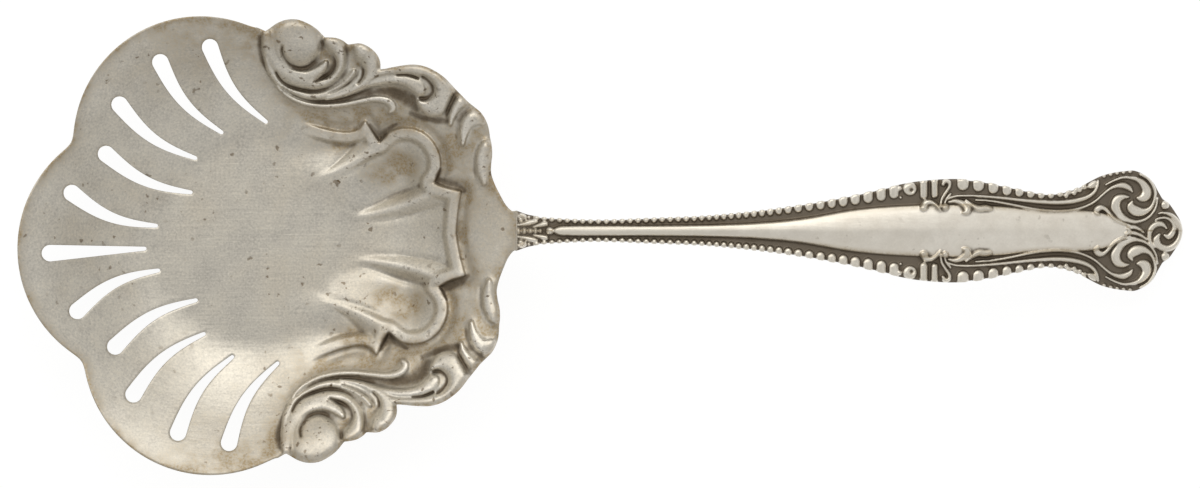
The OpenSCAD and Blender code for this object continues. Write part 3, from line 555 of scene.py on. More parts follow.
def bowlRelief(grid):
    # everything is struck on the upper half and mirrored
    up = upperHalf(grid)
    ux, uy = up["x"][None, :], up["y"][:, None]

    def nearest(lines, reach):
        # distance from the nearest of these lines as a share of its half-width
        return np.min([strokeShare(up, smoothLine(line), reach) for line in lines], axis=0)

    scroll = np.zeros(up["shape"])
    for share, line in scrollLines.values():
        strike(scroll, up, smoothLine(line), bowlLook["scrollRise"] * share)
    for at, radius, rise in volutes:
        dome(scroll, up, at, radius, bowlLook["scrollRise"] * rise, 0.7)
    # the strokes stand on a common mass with a soft skirt
    scroll = np.maximum(scroll, 0.85 * blur(scroll, up, 0.42))
    scrollMask = np.clip(scroll / 0.25, 0, 1)
    dark = (1 - ease((nearest(darkGround, 1.6) - 0.15) / 1.3)) * (1 - ease((scroll - 0.2) / 0.35))
    crease = np.exp(-nearest(creases, 2.4) ** 2)
    q = nearest(scrollGrooves, 2.4)
    cuts = np.exp(-0.9 * q * q)
    scroll -= bowlLook["grooveDepth"] * cuts * np.clip(scroll / 0.5, 0.25, 1)
    # the shell: an edge that stands above the field outside it
    edgeLine = np.vstack([smoothLine(part)[:-1] for part in shellEdge] + [[shellEdge[-1][-1]]])
    shell = insideOf(up, np.vstack([edgeLine, [(3.0, 13.0), (3.0, -1.0), (25.15, -1.0)]]))
    away = edgeDistance(up, edgeLine, 6.0, closed=False)
    signed = np.where(shell, away, -away)
    fadeEnd = ease((ux - 4.8) / 4.5)
    inner = 0.9 + 0.1 * ease(away / 0.5) - ease((away - 0.95) / 0.8)
    lip = np.where(shell, inner, 0.9 * ease(1 - away / 0.34)) * bowlLook["lipRise"] * fadeEnd
    trough = -bowlLook["trough"] * np.exp(-((signed + 0.85) / 0.6) ** 2) * fadeEnd
    # the side flute's floor leans down from the rib at the lip's cusp to the rib at the heel
    flutes = sum(rib(up, smoothLine(line)) for line in ribs)
    scoopLine = smoothLine(scoopLoop, closed=True)
    bed = insideOf(up, scoopLine) * 1.0
    far = np.hypot(ux, uy)
    (mx, my), (ax, ay) = bowlLook["fluteMiddle"], bowlLook["fluteAcross"]
    across = (ux - mx) * ax + (uy - my) * ay
    beyond = np.where(across > 2.0, 1 - ease((across - 2.4) / 4.5), 0)
    lean = np.clip(across, -3.2, 3.0) * np.maximum(blur(bed, up, 0.45), beyond)
    lean = lean * ease((far - 7.5) / 7.5) * (1 - ease((far - 19.5) / 3.5))
    early = blur(bed, up, 0.8) * ease((far - 8.5) / 5.5) * (1 - ease((far - 15.0) / 6.0))
    deep = ease(edgeDistance(up, scoopLine, 4.0) / 3.0) * bed
    deep = deep * ease((far - 13.5) / 5.0) * (1 - 0.3 * ease((9.0 - uy) / 5.0))
    heel = np.exp(-(uy / 2.4) ** 2) * ease((ux - 14) / 7) * (1 - ease((ux - 22.2) / 1.6))
    outer = np.exp(-((ux - 11.0) / 3.2) ** 2 - ((uy - 12.4) / 1.3) ** 2)
    flutes = flutes + bowlLook["fluteLean"] * lean + bowlLook["fluteRise"] * early - bowlLook["scoop"] * deep
    flutes = blur(flutes - bowlLook["hollows"][0] * heel - bowlLook["hollows"][1] * outer, up, 0.24)
    inShell = np.maximum(lip, 0) + flutes * (1 - 0.7 * np.clip(lip / bowlLook["lipRise"], 0, 1))
    shellRelief = trough + np.where(shell, inShell, lip)
    relief = np.where(scrollMask > 0, scroll + shellRelief * (1 - scrollMask), shellRelief)
    relief -= bowlLook["sinks"][0] * blur(dark, up, 0.3) + bowlLook["sinks"][1] * crease
    # tarnish gathers outside the lip, in the flutes and round the scrolls
    field = (0.2 + 0.5 * ease((uy - 7) / 5)) * ease(-signed / 1.5) * ease((ux - 1) / 8)
    stain = 0.9 * (np.exp(-((signed + 0.8) / 1.0) ** 2) * fadeEnd + field * (1 - scrollMask))
    stain += 0.8 * (blur(deep, up, 0.5) + 0.8 * outer)
    stain += 0.75 * (blur(scrollMask, up, 1.3) + 0.5 * blur(scrollMask, up, 3.0)) * (1 - scrollMask)
    return [mirrored(grid, field) for field in (relief, stain, np.maximum(dark, 0.3 * crease), scrollMask)]


def buildBowl():
    grid = makeGrid(*bowlLook["window"], bowlLook["grid"])
    outline = bowlOutline()
    slots = [slotLoop(place, side) for place in slotPlaces for side in (1, -1) if place[0] or side > 0]
    loops = [outline] + slots
    inside = insideOf(grid, outline)
    rim = edgeDistance(grid, outline, edgeReach)
    edge = rim
    for loop in slots:
        inside &= ~insideOf(grid, loop)
        edge = np.minimum(edge, edgeDistance(grid, loop, edgeReach))
    x, y = grid["x"][None, :], grid["y"][:, None]
    relief, stain, dark, scrollMask = bowlRelief(grid)
    relief = blur(relief, grid, bowlLook["soften"])
    hollow, crest = hollowAndCrest(relief, grid, *bowlLook["crevice"])
    # rounded edges: a broad roll where the scrolls meet the edge, a small one elsewhere
    roll = 0.3 + 0.75 * blur(scrollMask, grid, 0.3)
    near = np.clip(1 - rim / roll, 0, 1) * (1 - ease((x - 32.3) / 0.6))
    struck = relief - roll * 0.8 * arc(near)
    drop, wide = bowlLook["slotRoll"]
    struck = struck - np.where(rim > 1, drop * arc(np.clip(1 - edge / wide, 0, 1)), 0)
    away = np.hypot(x, y)
    base = dishUnder(away)
    rimStain = 0.6 * ease((away - 21) / 9) * ease((x + 18) / 14) * ease((9 - x) / 8)
    rimStain = 0.45 * np.exp(-rim / 1.8) + rimStain
    fields = {
        "hollow": (np.maximum(hollow, 0.85 * dark), 0.0),
        "crest": (crest, 0.0),
        "stain": (np.clip(stain + rimStain, 0, 1), 0.1),
        "edge": (np.exp(-rim / 0.5), 0.0),
        "lift": (struck, 0.0),
    }

    def place(p):
        x, y, z = p.T
        return np.column_stack([x * math.cos(turn) - y * math.sin(turn),
                                x * math.sin(turn) + y * math.cos(turn), z])

    points = meshPoints(grid, inside, edge, loops, struck, bowlLook)
    heights = (base + bowlLook["sheet"] + struck, base)
    return sheetPiece("shellBowl", grid, loops, points, heights, fields, place)


# The handle

handleLook = {
    "length": 86.7,
    "halfWidth": 7.9,
    "plate": 1.5,             # border plate at the swell
    "arch": 14.5,             # height of the back at the top of the arch
    "archAt": 0.4,            # share of the length where the arch is highest
    "panelRise": 0.765,
    "channel": 0.3,
    "beadRise": 0.62,
    "whorlRise": 0.74,
    "pitch": 1.04,
    "beadLength": 1.6,
    "bite": 0.16,             # how far the edge steps in between two beads
    "eyeHole": (51.2, 5.3, 0.6),  # place and depth of the hole in the eye bead
    "lastBeads": (0.881, 0.93),   # shares of the length between which the small beads lie
    "lastBead": (0.34, 0.4),      # their radius and height
    "edgeRoll": (0.24, 0.28),     # height and width of the rounded edge
    "soften": 0.05,
    "crevice": (0.4, 0.3),
    "window": ((-0.3, -8.4), (87.1, 8.4)),
    "grid": 0.07,
    "meshBlur": 0.2,
    "meshLevels": (0.08, 0.4),
    "meshGaps": (0.45, 0.22, 0.115),
    "ringGaps": (0.07, 0.16),
    "backGaps": (0.6,),
}
tongueLook = {"length": 7.5, "overlap": 0.2, "halfWidth": 2.548, "thick": 1.3, "gap": 0.1}
# Tables along the handle: share of its length, then half-width of the handle and of the panel as
# shares of the widest, and bead spacing and bead length as shares of the usual
widthTable = [(0, 0.329), (0.02, 0.257), (0.06, 0.21), (0.125, 0.186), (0.2, 0.215), (0.275, 0.248),
    (0.35, 0.322), (0.424, 0.43), (0.5, 0.579), (0.56, 0.727), (0.6, 0.81), (0.65, 0.85), (0.69, 0.826),
    (0.735, 0.73), (0.79, 0.612), (0.815, 0.628), (0.845, 0.73), (0.875, 0.893), (0.895, 0.955),
    (0.915, 0.985), (0.927, 0.99), (0.94, 0.935), (0.949, 0.87), (0.9565, 0.78), (0.9615, 0.68),
    (0.9656, 0.6), (0.9695, 0.53), (0.9735, 0.495), (0.978, 0.465), (0.982, 0.415), (0.9865, 0.345),
    (0.991, 0.27), (0.995, 0.2), (0.998, 0.12), (0.9995, 0.05)]
panelTable = [(0, 0.004), (0.052, 0.004), (0.057, 0.045), (0.068, 0.08), (0.2, 0.086), (0.275, 0.096),
    (0.35, 0.125), (0.424, 0.198), (0.5, 0.34), (0.56, 0.405), (0.65, 0.44), (0.72, 0.41), (0.79, 0.34),
    (0.84, 0.34), (0.875, 0.31), (0.905, 0.19), (0.918, 0.07), (0.925, 0.004), (1, 0.004)]
pitchTable = [(0, 0.94), (0.24, 1), (0.29, 0.91), (0.35, 0.98), (0.387, 1.12), (0.424, 1.38), (0.47, 1.42),
    (0.514, 1.63), (0.56, 1.6), (0.67, 1.95), (0.7, 1.8), (0.75, 1.45), (0.8, 1.15), (0.86, 0.85), (1, 0.85)]
depthTable = [(0, 0.34), (0.1, 0.4), (0.27, 0.46), (0.35, 0.56), (0.424, 0.66), (0.5, 0.85), (0.56, 1.08),
    (0.67, 0.95), (0.72, 0.85), (0.8, 0.42), (0.86, 0.4), (1, 0.4)]
# Shares of the length where the rows of beads start and end
beadRows = [(0.03, 0.568), (0.668, 0.858)]
# Struck lines of one side of the handle: along, across, half-width
handleLines = {
    "longReed": [(80.08, 5.07, 0.13), (79.7, 5.55, 0.34), (78.95, 5.9, 0.4), (78.1, 5.85, 0.3),
        (77.2, 5.5, 0.2), (76.3, 4.8, 0.17), (75.27, 3.9, 0.17), (73.97, 3.19, 0.17), (72.15, 2.72, 0.17),
        (69.94, 2.6, 0.17), (67.34, 2.83, 0.16), (64.09, 3.45, 0.16), (61.49, 3.87, 0.14), (59.54, 4, 0.08)],
    "upperArm": [(80.7, 4.3, 0.15), (81.25, 4.25, 0.46), (81.85, 4.6, 0.66), (81.95, 5.35, 0.6),
        (81.5, 6.1, 0.48), (80.86, 6.6, 0.33), (79.95, 6.87, 0.23), (78.9, 6.93, 0.17), (77.74, 6.57, 0.14),
        (76.57, 5.98, 0.1)],
    "outerArm": [(80.08, 3.87, 0.13), (79.85, 3.15, 0.5), (80.5, 2.6, 0.66), (81.51, 2.47, 0.48),
        (82.42, 2.95, 0.28), (82.94, 3.9, 0.2), (83.07, 5.07, 0.2), (82.68, 6.11, 0.2), (82.03, 6.89, 0.2),
        (81.12, 7.35, 0.15)],
    "lowerArm": [(79.6, 4.4, 0.13), (78.85, 4.42, 0.36), (78.1, 4.05, 0.56), (77.87, 3.12, 0.62),
        (78.39, 2.12, 0.5), (79.3, 1.47, 0.36), (80.47, 1.17, 0.26), (81.64, 1.43, 0.2), (82.55, 2.08, 0.16),
        (83.2, 3.12, 0.13), (83.4, 4.29, 0.1)],
    "leaf": [(75.65, 2.1, 0.13), (75.3, 2.6, 0.31), (75.79, 2.99, 0.36), (76.31, 2.95, 0.26),
        (76.96, 2.41, 0.2), (77.74, 1.6, 0.17), (78.65, 1.05, 0.16), (79.82, 0.72, 0.1)],
    "outerReed": [(55.9, 4.1, 0.08), (57.07, 4.5, 0.13), (59.54, 4.52, 0.16), (62.79, 4.28, 0.19),
        (66.69, 3.85, 0.24), (69.94, 3.65, 0.3), (72.15, 3.82, 0.32), (73.97, 4.3, 0.29),
        (75.01, 4.98, 0.24), (75.53, 5.85, 0.18), (75.6, 6.5, 0.13)],
    "shoulder": [(74.4, 5.7, 0.22), (74.85, 5.95, 0.4), (75.2, 6.3, 0.22)],
    "curl": [(55, 2.6, 0.08), (54.45, 3.35, 0.17), (53.75, 3.72, 0.24), (53.1, 3.65, 0.33),
        (52.8, 3.1, 0.4)],
    "stem": [(54.95, 3.15, 0.14), (55.15, 4.1, 0.16), (55.6, 4.9, 0.18), (56.1, 5.6, 0.2),
        (56.15, 6.2, 0.22), (55.6, 6.45, 0.24), (55.3, 6, 0.2)],
    "stemSide": [(55.5, 3.4, 0.08), (55.75, 4.1, 0.12), (56.3, 4.8, 0.12)],
    "middleLeaf": [(56.03, 3.7, 0.1), (56.81, 3.86, 0.22), (57.72, 3.66, 0.31), (58.45, 3.12, 0.4),
        (58.4, 2.5, 0.3), (57.9, 2.35, 0.12)],
    "lastLeaf": [(58.3, 4, 0.1), (59.1, 3.4, 0.2), (59.93, 2.92, 0.32), (60.84, 2.99, 0.34),
        (61.49, 2.86, 0.26)],
    "tallOne": [(52.78, 6.6, 0.5), (52.78, 4.6, 0.5)],
    "tallTwo": [(54.21, 6.8, 0.46), (54.21, 4.65, 0.42)],
    "neckLeaf": [(0, 0.76, 0.1), (0.8, 0.84, 0.18), (1.5, 1.02, 0.34), (2.1, 1.14, 0.3), (2.7, 1.22, 0.1)],
    "neckLeafTwo": [(2.15, 0.52, 0.06), (2.8, 0.68, 0.2), (3.4, 0.82, 0.34), (3.85, 0.9, 0.28)],
    "neckRing": [(0.1, 1.86, 0.12), (0.6, 2.06, 0.14), (1.05, 1.85, 0.16), (1.15, 1.5, 0.12)],
}
# How much wider some of them are struck; the others are struck 1.12 times as wide
strokeSizes = {"curl": 1.35, "stem": 1.3, "stemSide": 1.3, "middleLeaf": 1.3, "lastLeaf": 1.3,
    "neckLeaf": 1.1, "leaf": 1.3}
# The whorl at the tip, which isn't mirrored
tipLines = [
    [(79.5, 0.3, 0.2), (79.9, 0.5, 0.34), (80.6, 0.4, 0.3), (81.2, 0.1, 0.22), (81.6, -0.25, 0.12)],
    [(79.3, -0.4, 0.2), (79.8, -0.25, 0.34), (80.6, -0.35, 0.3), (81.4, -0.7, 0.22), (82, -1.15, 0.12)],
    [(79, -1, 0.15), (79.6, -0.9, 0.26), (80.3, -0.95, 0.22), (80.9, -1.1, 0.12)],
    [(84.3, -0.55, 0.2), (84.85, -0.75, 0.44), (85.4, -0.2, 0.44), (85.62, 0.5, 0.36), (85.25, 1.25, 0.27),
     (84.5, 1.68, 0.21), (83.6, 1.62, 0.17), (83.07, 1.38, 0.1)],
    [(83.65, -0.45, 0.2), (83.25, -1.15, 0.52), (83.6, -1.95, 0.52), (84.6, -2.3, 0.48), (85.6, -1.9, 0.46),
     (86.3, -0.95, 0.42), (86.42, 0.1, 0.4), (86.1, 1.1, 0.36), (85.28, 1.98, 0.28), (84.24, 2.34, 0.18),
     (83.5, 2.25, 0.1)],
    [(84.6, 0.3, 0.13), (83.98, 0.85, 0.4), (83.1, 0.78, 0.44), (82.45, 0.1, 0.42), (82.32, -0.85, 0.31),
     (82.55, -1.62, 0.21), (83.07, -2.15, 0.12)],
]
# Beads of one side and of the middle: place, radius, height, where 0.7 is as high as the whorls
handleDomes = [((51, 5.45), 0.95, 0.7), ((49.66, 5.45), 0.36, 0.6), ((49.8, 4.3), 0.22, 0.5),
    ((55.6, 3.12), 0.48, 0.75), ((84.4, 3.35), 0.62, 0.6), ((71.4, 4.55), 0.36, 0.6),
    ((72.45, 4.9), 0.36, 0.6), ((73.2, 5.25), 0.33, 0.55), ((73.85, 5.6), 0.3, 0.5),
    ((0.5, 1.48), 0.36, 0.65), ((-0.1, 1.2), 0.22, 0.5), ((-0.1, 2.2), 0.24, 0.5), ((1.6, 1.75), 0.2, 0.4),
    ((2.3, 1.62), 0.22, 0.4), ((0.2, 0), 0.4, 1), ((1, 0), 0.39, 1), ((1.78, 0), 0.36, 1),
    ((2.46, 0), 0.33, 1), ((3.08, 0), 0.28, 0.9), ((4.3, 0), 0.55, 0.7)]


def handleHalf(s):
    return handleLook["halfWidth"] * smoothTable(widthTable, s)


def panelHalf(s):
    return handleLook["halfWidth"] * np.maximum(smoothTable(panelTable, s), 0.004)


neckBack = bowlLook["rimRise"] - tongueLook["gap"] - tongueLook["thick"]
neckThick = bowlLook["rimRise"] + bowlLook["sheet"] - neckBack


def backHeight(s):
    share, arch = handleLook["archAt"], handleLook["arch"]
    rest = 1 - share
    rise = hermite(neckBack, arch, (arch - neckBack) * 1.24 / share, 0, share, np.clip(s / share, 0, 1))
    fall = hermite(arch, 0, 0, -arch * 1.35 / rest, rest, np.clip((s - share) / rest, 0, 1))
    return np.where(s < share, rise, fall)


def beadStations(first, last):
    out = []
    s = first
    while s <= last:
        out.append(s)
        s += handleLook["pitch"] * float(smoothTable(pitchTable, s)) / handleLook["length"]
    return out


def handleOutline():
    s = np.concatenate([np.linspace(0.1 / handleLook["length"], 0.94, 1400), np.linspace(0.941, 0.9995, 120)])
    # the edge steps in a little between the beads
    bite = np.zeros(len(s))
    for first, last in beadRows:
        places = beadStations(first, last)
        for a, b in zip(places[:-1], places[1:]):
            bite = np.maximum(bite, np.clip(1 - ((s - (a + b) / 2) / (0.3 * (b - a))) ** 2, 0, 1))
    half = np.column_stack([s * handleLook["length"], handleHalf(s) - handleLook["bite"] * bite])
    return evenLoop(np.vstack([half[::-1], half * [1, -1], [(handleLook["length"], 0.0)]]), 0.13)


def handleRelief(grid):
    length, lift, channel = (handleLook[key] for key in ("length", "whorlRise", "channel"))
    x, y = np.meshgrid(grid["x"], grid["y"])
    s, b = np.clip(x / length, 0, 1), np.abs(y)
    panel = panelHalf(s)
    # the panel is crowned to a soft ridge and turns down along its edges
    stemPart = ease((0.5 - s) / 0.2)
    rise = handleLook["panelRise"] * (0.6 + 0.4 * np.clip(panel / 1.6, 0, 1)) * np.clip(panel / 0.4, 0, 1)
    ridge = (0.16 + 0.06 * stemPart) * (np.hypot(b, 0.35) - 0.35)
    crown = rise - ridge - (0.3 - 0.2 * stemPart) * rise * np.clip(b / panel, 0, 1) ** 4
    wall = ease((panel + 0.12 - b) / np.minimum(0.32, panel)) * ease((panel - 0.04) / 0.2)
    relief = wall * (crown + channel) - channel
    up = upperHalf(grid)
    struck = np.full(up["shape"], -1.0)
    for name, line in handleLines.items():
        strike(struck, up, smoothLine(line) * [1, 1, strokeSizes.get(name, 1.12)], lift)
    for at, radius, share in handleDomes:
        dome(struck, up, at, radius, lift * share / 0.7)
    # bead borders: bullets that run out over the edge
    for first, last in beadRows:
        for place in beadStations(first, last):
            wide = handleLook["pitch"] * float(smoothTable(pitchTable, place)) * 0.41
            out = float(handleHalf(place))
            depth = handleLook["beadLength"] * float(smoothTable(depthTable, place))
            inner = min(out - depth + wide, out + 0.05)
            bullet = np.array([(place * length, inner, wide), (place * length, out + 0.3, wide)])
            strike(struck, up, bullet, handleLook["beadRise"], 0.42)
    for place in beadStations(*handleLook["lastBeads"]):
        dome(struck, up, (place * length, float(handleHalf(place)) - 0.1), *handleLook["lastBead"])
    struck = mirrored(grid, struck)
    for line in tipLines:
        strike(struck, grid, smoothLine(line), lift)
    # the ornament stands on the channel and runs up over the panel's edge
    ground = np.clip(blur(relief, grid, 0.25), -channel, 0.5)
    relief = np.maximum(relief, np.where(struck > 0.02, struck * 0.9 + ground, -9))
    mark = (struck > 0.1) * 1.0
    outlined = np.clip(2.2 * blur(mark, grid, 0.12), 0, 1) * (1 - mark)
    holeX, holeY, deep = handleLook["eyeHole"]
    relief -= deep * np.exp(-((x - holeX) ** 2 + (b - holeY) ** 2) / 0.1)
    return relief, outlined


def tongueShell():
    # the lap under the bowl's heel, a closed tapered tongue
    steps, sides = 26, 16
    t = np.arange(steps + 1)[:, None] / steps
    a = 2 * math.pi * np.arange(sides)[None, :] / sides
    x = -tongueLook["length"] + (tongueLook["length"] + tongueLook["overlap"]) * t
    grow = np.sin(math.pi / 2 * t)
    nose = np.sqrt(np.maximum(1 - (1 - np.minimum(t * 3.2, 1)) ** 2, 0.0004)) * (0.5 + 0.5 * grow)
    half = tongueLook["thick"] / 2 * (0.3 + 0.7 * grow)
    top = dishUnder(np.hypot(neckX + x, neckY)) - tongueLook["gap"]
    across, up = (np.copysign(np.sqrt(np.abs(v)), v) for v in (np.cos(a), np.sin(a)))
    y = tongueLook["halfWidth"] * nose * across
    points = np.dstack([x + 0 * a, y, top - half + half * up]).reshape(-1, 3)
    ring = np.arange(steps * sides).reshape(steps, sides)
    a, b = ring.ravel(), np.roll(ring, -1, axis=1).ravel()
    k = np.arange(1, sides - 1)
    end = steps * sides
    faces = [(a, b, a + sides), (b, b + sides, a + sides),
             (0 * k, k + 1, k), (0 * k + end, end + k, end + k + 1)]
    return points, np.vstack([np.column_stack(f) for f in faces])


def buildHandle():
    grid = makeGrid(*handleLook["window"], handleLook["grid"])
    outline = handleOutline()
    rim = edgeDistance(grid, outline, edgeReach)
    relief, outlined = handleRelief(grid)
    relief = blur(relief, grid, handleLook["soften"])
    hollow, crest = hollowAndCrest(relief, grid, *handleLook["crevice"])
    x, y = grid["x"][None, :], grid["y"][:, None]
    atNeck = ease(1 - x / 5)
    hollow = np.maximum(hollow, 0.6 * blur(outlined, grid, 0.06))
    drop, wide = handleLook["edgeRoll"]
    struck = relief - drop * arc(np.clip(1 - rim / wide, 0, 1) * ease(x / 0.4))
    s = np.clip(x / handleLook["length"], 0, 1)
    back = backHeight(s)
    plate = neckThick + (handleLook["plate"] - neckThick) * ease(s / 0.4)
    under = back + 0.4 * plate * ease((np.abs(y) / handleHalf(s) - 0.72) / 0.28)
    # brown creeps up the sides of the panel
    panel = panelHalf(s)
    stain = np.clip(1 - (panel - np.abs(y)) / (0.2 * panel + 0.15), 0, 1) * (np.abs(y) < panel + 0.1)
    fields = {
        "hollow": (hollow * (1 - 0.55 * atNeck), 0.0),
        "crest": (crest, 0.0),
        "stain": (stain, 0.1),
        "edge": (0 * relief, 0.0),
        "lift": (relief + 0.16 * atNeck, 0.4),
    }
    points = meshPoints(grid, insideOf(grid, outline), rim, [outline], struck, handleLook)
    return sheetPiece("beadedHandle", grid, [outline], points, (back + plate + struck, under), fields,
                      lambda p: p + [neckX, neckY, 0], tongueShell())


# Finishes

def toLinear(code):
    # sRGB hex to linear
    out = []
    for k in (0, 2, 4):
        c = int(code[k:k + 2], 16) / 255
        out.append(c / 12.92 if c <= 0.04045 else ((c + 0.055) / 1.055) ** 2.4)
    return out + [1]


def emptyTree(owner):
    owner.use_nodes = True
    owner.node_tree.nodes.clear()
    return owner.node_tree


def addNode(tree, kind, links=None, out=0, **settings):
    # a node with its sockets linked or set (in_ and the socket's name or number); gives one output
    node = tree.nodes.new(kind)
    for key, value in settings.items():
        if key.startswith("in_"):
            key = key[3:]
            node.inputs[int(key) if key.isdigit() else key.replace("_", " ")].default_value = value
        else:
            setattr(node, key, value)
    for name, source in (links or {}).items():
        tree.links.new(source, node.inputs[name])
    return node.outputs[out] if len(node.outputs) else node


# Noise that breaks up the finish: blotch size in mm, detail, roughness, stretch along its direction,
# direction in degrees
silverNoise = {
    "cloud": (9.0, 4, 0.55, 1, 0), "patch": (2.6, 5, 0.62, 1, 0), "grain": (0.3, 3, 0.6, 1, 0),
    "fleck": (1.2, 2, 0.5, 1, 0), "dent": (5.0, 2, 0.5, 1, 0), "wipe": (0.5, 2, 0.5, 16, 18),
    "pit": (0.8, 3, 0.55, 1.3, 40), "rub": (0.4, 2, 0.5, 20, -52),
}


def makeSilver(name, look):
    # Sterling silver, struck and polished, worn by use. The tops are bright and softly blurred,
    # the hollows keep the brown and grey tarnish that polishing doesn't reach.
    material = bpy.data.materials.new(name)
    tree = emptyTree(material)
    place = addNode(tree, "ShaderNodeTexCoord", out="Object")
    n = {key: addNode(tree, "ShaderNodeAttribute", out="Fac", attribute_name=key)
         for key in ("hollow", "crest", "stain", "edge", "lift")}
    for key, (size, detail, rough, stretch, turned) in silverNoise.items():
        at = addNode(tree, "ShaderNodeMapping", {"Vector": place}, in_Rotation=(0, 0, math.radians(turned)),
                     in_Scale=(1 / stretch, 1, 1))
        n[key] = addNode(tree, "ShaderNodeTexNoise", {"Vector": at}, in_Scale=1 / (size * mm),
                         in_Detail=detail, in_Roughness=rough)
    # Masks and their sums, in order. A soft range: what it reads, from low and high, to low and high.
    # A sum: its terms. The wear is the fine scratches of years of wiping, in two directions, drawn
    # as coarse as they need to show.
    for key, operation, *terms in (
            ("veil", "range", "cloud", 0.42, 0.75, 0, look["veil"]),
            ("blotch", "range", "patch", 0.34, 0.66, 0.42, 1.25),
            ("speckle", "range", "fleck", 0.66, 0.72, 0, look["flecks"]),
            ("pits", "range", "pit", 0.6, 0.68, 0, look["pits"]),
            ("high", "range", "lift", 0.4, 0.75, 0, 1),
            ("where", "range", "cloud", 0.44, 0.6, 0.12, 1),
            ("field", "range", "lift", look["fieldTo"], look["fieldFrom"], 0, look["field"]),
            ("haze", "range", "cloud", 0.3, 0.7, look["rough"] - 0.04, look["rough"] + 0.05),
            ("mottle", "range", "patch", 0.3, 0.7, 0, 1),
            ("grit", "range", "grain", 0.3, 0.7, 0, 1),
            ("painted", "MULTIPLY_ADD", "edge", look["rimStain"], "stain"),
            ("painted", "MULTIPLY", "painted", "blotch"),
            ("painted", "MULTIPLY", "painted", look["film"]),
            ("gritted", "MULTIPLY_ADD", "grit", 0.55, 0.5),
            ("painted", "MULTIPLY", "painted", "gritted"),
            ("film", "ADD", "painted", "veil"),
            ("uneven", "MULTIPLY_ADD", "mottle", 0.3, -0.15),
            ("deep", "ADD", "hollow", "uneven"),
            ("deep", "range", "deep", look["deepFrom"], look["deepTo"], 0, 1),
            ("dark", "MAXIMUM", "deep", "field"),
            ("spots", "MULTIPLY", "speckle", "where"),
            ("pits", "MULTIPLY", "pits", "high"),
            ("spots", "ADD", "spots", "pits"),
            ("matt", "MAXIMUM", "film", "dark"),
            ("rough", "MULTIPLY_ADD", "matt", 0.2, "haze"),
            ("wear", "ADD", "wipe", "rub"),
            ("wear", "MULTIPLY_ADD", "grain", 0.5, "wear"),
            ("wear", "MULTIPLY_ADD", "spots", -0.8, "wear")):
        links = {k: n[term] for k, term in enumerate(terms) if isinstance(term, str)}
        settings = {f"in_{k}": term for k, term in enumerate(terms) if k not in links}
        if operation == "range":
            n[key] = addNode(tree, "ShaderNodeMapRange", links, interpolation_type="SMOOTHSTEP", **settings)
        else:
            n[key] = addNode(tree, "ShaderNodeMath", links, operation=operation,
                             use_clamp=key not in ("uneven", "wear"), **settings)
    # colours laid over each other: share, colour
    colour = None
    for share, code in (("mottle", "silver"), ("crest", "bright"), ("film", "brown"), ("dark", "oxide"),
                        ("spots", "fleck")):
        links = {0: n[share]}
        settings = {"in_7": toLinear(look[code])}
        if colour is None:
            settings["in_6"] = toLinear(look["silverLow"])
        else:
            links[6] = colour
        colour = addNode(tree, "ShaderNodeMix", links, 2, data_type="RGBA", **settings)
    # the finest grain only shades the colour a little
    shade = addNode(tree, "ShaderNodeMapRange", {"Value": n["grain"]}, in_1=0.25, in_2=0.75,
                    in_3=1 - look["grain"], in_4=1 + look["grain"])
    colour = addNode(tree, "ShaderNodeVectorMath", {0: colour, 1: shade}, operation="MULTIPLY")
    fine = addNode(tree, "ShaderNodeBump", {"Height": n["wear"]}, in_Strength=look["bump"],
                   in_Distance=0.03 * mm)
    dents = addNode(tree, "ShaderNodeBump", {"Height": n["dent"], "Normal": fine}, in_Strength=0.5,
                    in_Distance=look["dents"] * mm)
    shader = addNode(tree, "ShaderNodeBsdfPrincipled",
                     {"Base Color": colour, "Roughness": n["rough"], "Normal": dents}, in_Metallic=1.0)
    addNode(tree, "ShaderNodeOutputMaterial", {"Surface": shader})
    return material


bowlSilver = {
    "silver": "DDDAD1", "silverLow": "CAC6BD", "bright": "E6E2D9", "brown": "9C8B6E", "oxide": "6E6354",
    "fleck": "6A5A45", "film": 0.95, "veil": 0.14, "rimStain": 0.8, "deepFrom": 0.25, "deepTo": 0.95,
    "grain": 0.24, "field": 0.0, "fieldFrom": -1.0, "fieldTo": -0.9, "flecks": 0.7, "pits": 0.75,
    "rough": 0.38, "bump": 0.6, "dents": 0.1,
}
# The handle is the same alloy, brighter because it is handled, with the channels oxidised dark
handleSilver = {
    "silver": "F0EBE1", "silverLow": "E4DED3", "bright": "DFD9CD", "brown": "A69678", "oxide": "6E6457",
    "fleck": "6A5A45", "film": 0.8, "veil": 0.05, "rimStain": 0.0, "deepFrom": 0.15, "deepTo": 0.75,
    "grain": 0.04, "field": 0.95, "fieldFrom": -0.16, "fieldTo": 0.06, "flecks": 0.25, "pits": 0.0,
    "rough": 0.36, "bump": 0.35, "dents": 0.03,
}
# Hard solder: a duller, greyer alloy than the sheet, left matt by the torch
solderLook = {
    "silver": "D2CCC0", "silverLow": "BDB6A9", "bright": "DAD5C9", "brown": "7C6E58", "oxide": "5A5144",
    "fleck": "4A4032", "film": 0.6, "veil": 0.3, "rimStain": 0.0, "deepFrom": 0.3, "deepTo": 0.9,
    "grain": 0.1, "field": 0.0, "fieldFrom": -1.0, "fieldTo": -0.9, "flecks": 0.8, "pits": 0.0,
    "rough": 0.42, "bump": 0.8, "dents": 0.05,
}

bowl = buildBowl()
bowl.data.materials.append(makeSilver("wornSterlingBowl", bowlSilver))
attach(bowl, "root")
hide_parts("bowl")
print("bowl made")

handle = buildHandle()
handle.data.materials.append(makeSilver("oxidisedSterlingHandle", handleSilver))
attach(handle, "root")
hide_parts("handle")
print("handle made")

